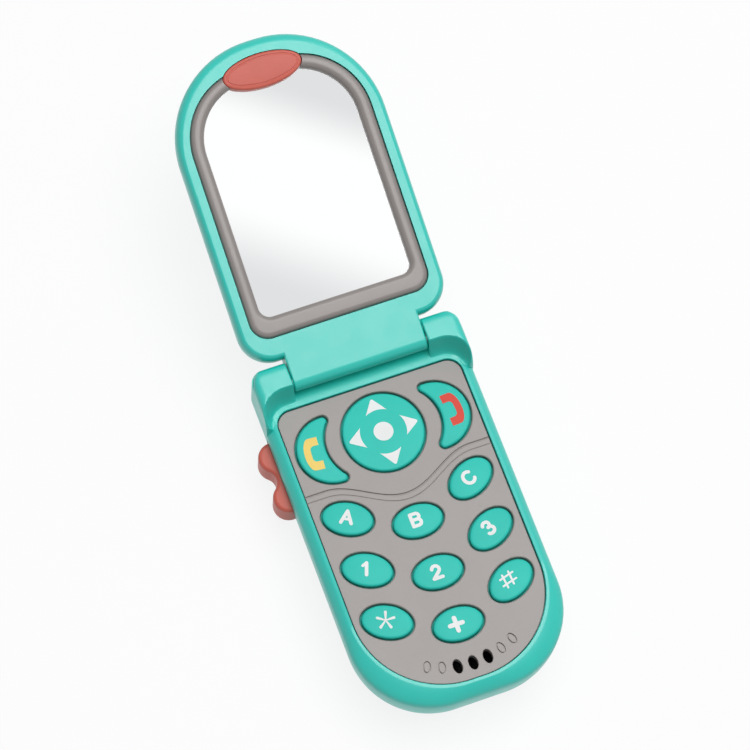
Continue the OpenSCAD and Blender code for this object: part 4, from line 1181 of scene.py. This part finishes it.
def add_badge():
    """The bare badge: a low oval dome with a groove inside its edge."""
    def height(x, y):
        away = (2 * x / BADGE_LEN) ** 2 + (2 * (y - BADGE_Y) / BADGE_WID) ** 2
        return BEZEL_FRONT - BADGE_DROP * away
    rings = [lift(badge_plan(0), MIRROR_Z)]
    edge = quarter(BADGE_EDGE, BADGE_EDGE, EDGE_STEPS)
    for inset, down in edge[::-1] + list(GROOVE_ROWS):
        rings.append([(x, y, height(x, y) - down) for x, y in badge_plan(-inset)])
    half_x = BADGE_LEN / 2 - BADGE_EDGE
    half_y = BADGE_WID / 2 - BADGE_EDGE
    for f in BADGE_RINGS:
        outline = turned(ellipse(half_x * f, half_y * f, BADGE_STEPS), 0, (0, BADGE_Y))
        rings.append([(x, y, height(x, y)) for x, y in outline])
    plate = solid("badge_plate", rings, coral)
    level(plate)
    set_on_lid(plate, "badge")


# Floor, light and camera; the floor's half span in metres and its drop in millimetres

SKY = 0.22
WHITE = 1.0
FLOOR_GLOW = 0.86
FLOOR_SPAN = 4.0
FLOOR_DROP = 0.05


def seen_rays(tree):
    """1 where the camera sees a thing directly, in a reflection or through glass, and 0 elsewhere."""
    path = tree.nodes.new("ShaderNodeLightPath")
    shown = path.outputs["Is Camera Ray"]
    for ray in ("Is Glossy Ray", "Is Transmission Ray"):
        either = tree.nodes.new("ShaderNodeMath")
        either.operation = "MAXIMUM"
        tree.links.new(shown, either.inputs[0])
        tree.links.new(path.outputs[ray], either.inputs[1])
        shown = either.outputs["Value"]
    return shown


def floor_finish():
    """A white floor: lit as any surface, with most of its shadow lifted where it is seen."""
    material = finish("floor_white", srgb(250, 250, 250), 0.9, cloud=0.002, cloud_size=400, gloss=0.0)
    tree = material.node_tree
    glow = tree.nodes.new("ShaderNodeEmission")
    glow.inputs["Strength"].default_value = WHITE
    share = tree.nodes.new("ShaderNodeMath")
    share.operation = "MULTIPLY"
    share.inputs[1].default_value = FLOOR_GLOW
    tree.links.new(seen_rays(tree), share.inputs[0])
    both = tree.nodes.new("ShaderNodeMixShader")
    tree.links.new(share.outputs["Value"], both.inputs["Fac"])
    tree.links.new(tree.nodes["Principled BSDF"].outputs["BSDF"], both.inputs[1])
    tree.links.new(glow.outputs["Emission"], both.inputs[2])
    tree.links.new(both.outputs["Shader"], tree.nodes["Material Output"].inputs["Surface"])
    return material


def add_floor():
    corners = [(x * FLOOR_SPAN, y * FLOOR_SPAN, 0) for x, y in ((-1, -1), (1, -1), (1, 1), (-1, 1))]
    mesh = bpy.data.meshes.new("floor")
    mesh.from_pydata(corners, [], [(0, 1, 2, 3)])
    floor = bpy.data.objects.new("floor", mesh)
    floor.location.z = -FLOOR_DROP * MM
    bpy.context.scene.collection.objects.link(floor)
    mesh.materials.append(floor_finish())


# Each lamp's place and size in metres and its power in watts, and the place that all are turned to
LAMPS = {"key_lamp": ((0.25, 0.1, 1.3), 1.15, 13.2), "side_lamp": ((0.9, 0.7, 0.9), 0.7, 1.5)}
LAMP_AIM = (0, 0.03, 0)


def add_lamp(name, place, size, power):
    """A round soft lamp, which leaves the mirror out."""
    lamp = bpy.data.lights.new(name, "AREA")
    lamp.shape = "DISK"
    lamp.size = size
    lamp.energy = power
    holder = bpy.data.objects.new(name, lamp)
    holder.location = place
    holder.rotation_euler = (Vector(LAMP_AIM) - Vector(place)).to_track_quat("-Z", "Y").to_euler()
    bpy.context.scene.collection.objects.link(holder)
    holder.light_linking.receiver_collection = mirror_group


def add_mirror_group():
    """Lamps pass over the mirror, which shows the pale room around it and no lamp."""
    group = bpy.data.collections.new("mirror_group")
    group.objects.link(nodes["mirror_sheet"])
    group.collection_objects[0].light_linking.link_state = "EXCLUDE"
    return group


def add_world():
    world = bpy.data.worlds.new("studio")
    bpy.context.scene.world = world
    world.use_nodes = True
    tree = world.node_tree
    sky = tree.nodes["Background"]
    sky.inputs["Color"].default_value = (1, 1, 1, 1)
    strength = tree.nodes.new("ShaderNodeMix")
    strength.inputs["A"].default_value = SKY
    strength.inputs["B"].default_value = WHITE
    tree.links.new(seen_rays(tree), strength.inputs["Factor"])
    tree.links.new(strength.outputs["Result"], sky.inputs["Strength"])


# The camera's turn about X, Y and Z in degrees, its place, lens and sensor in millimetres
CAMERA_TURN = (-19.145, 9.413, 18.128)
CAMERA_PLACE = (-151.9, -266.6, 906.0)
CAMERA_LENS = 173.7
SENSOR = 36.0
CLIP_START = 0.05


def add_camera():
    data = bpy.data.cameras.new("camera")
    data.lens = CAMERA_LENS
    data.sensor_width = SENSOR
    data.clip_start = CLIP_START
    camera = bpy.data.objects.new("camera", data)
    turns = [Matrix.Rotation(math.radians(-a), 4, axis) for a, axis in zip(CAMERA_TURN, "XYZ")]
    camera.matrix_world = Matrix.Translation(Vector(CAMERA_PLACE) * MM) @ turns[0] @ turns[1] @ turns[2]
    bpy.context.scene.collection.objects.link(camera)
    bpy.context.scene.camera = camera


add_base_front()
add_fascia()
add_rocker()
add_keys()
add_legends()
add_lid_front()
add_bezel()
add_badge()
add_floor()
add_world()
mirror_group = add_mirror_group()
for lamp_name, (lamp_place, lamp_size, lamp_power) in LAMPS.items():
    add_lamp(lamp_name, lamp_place, lamp_size, lamp_power)
add_camera()
bpy.context.scene.view_settings.view_transform = "Standard"
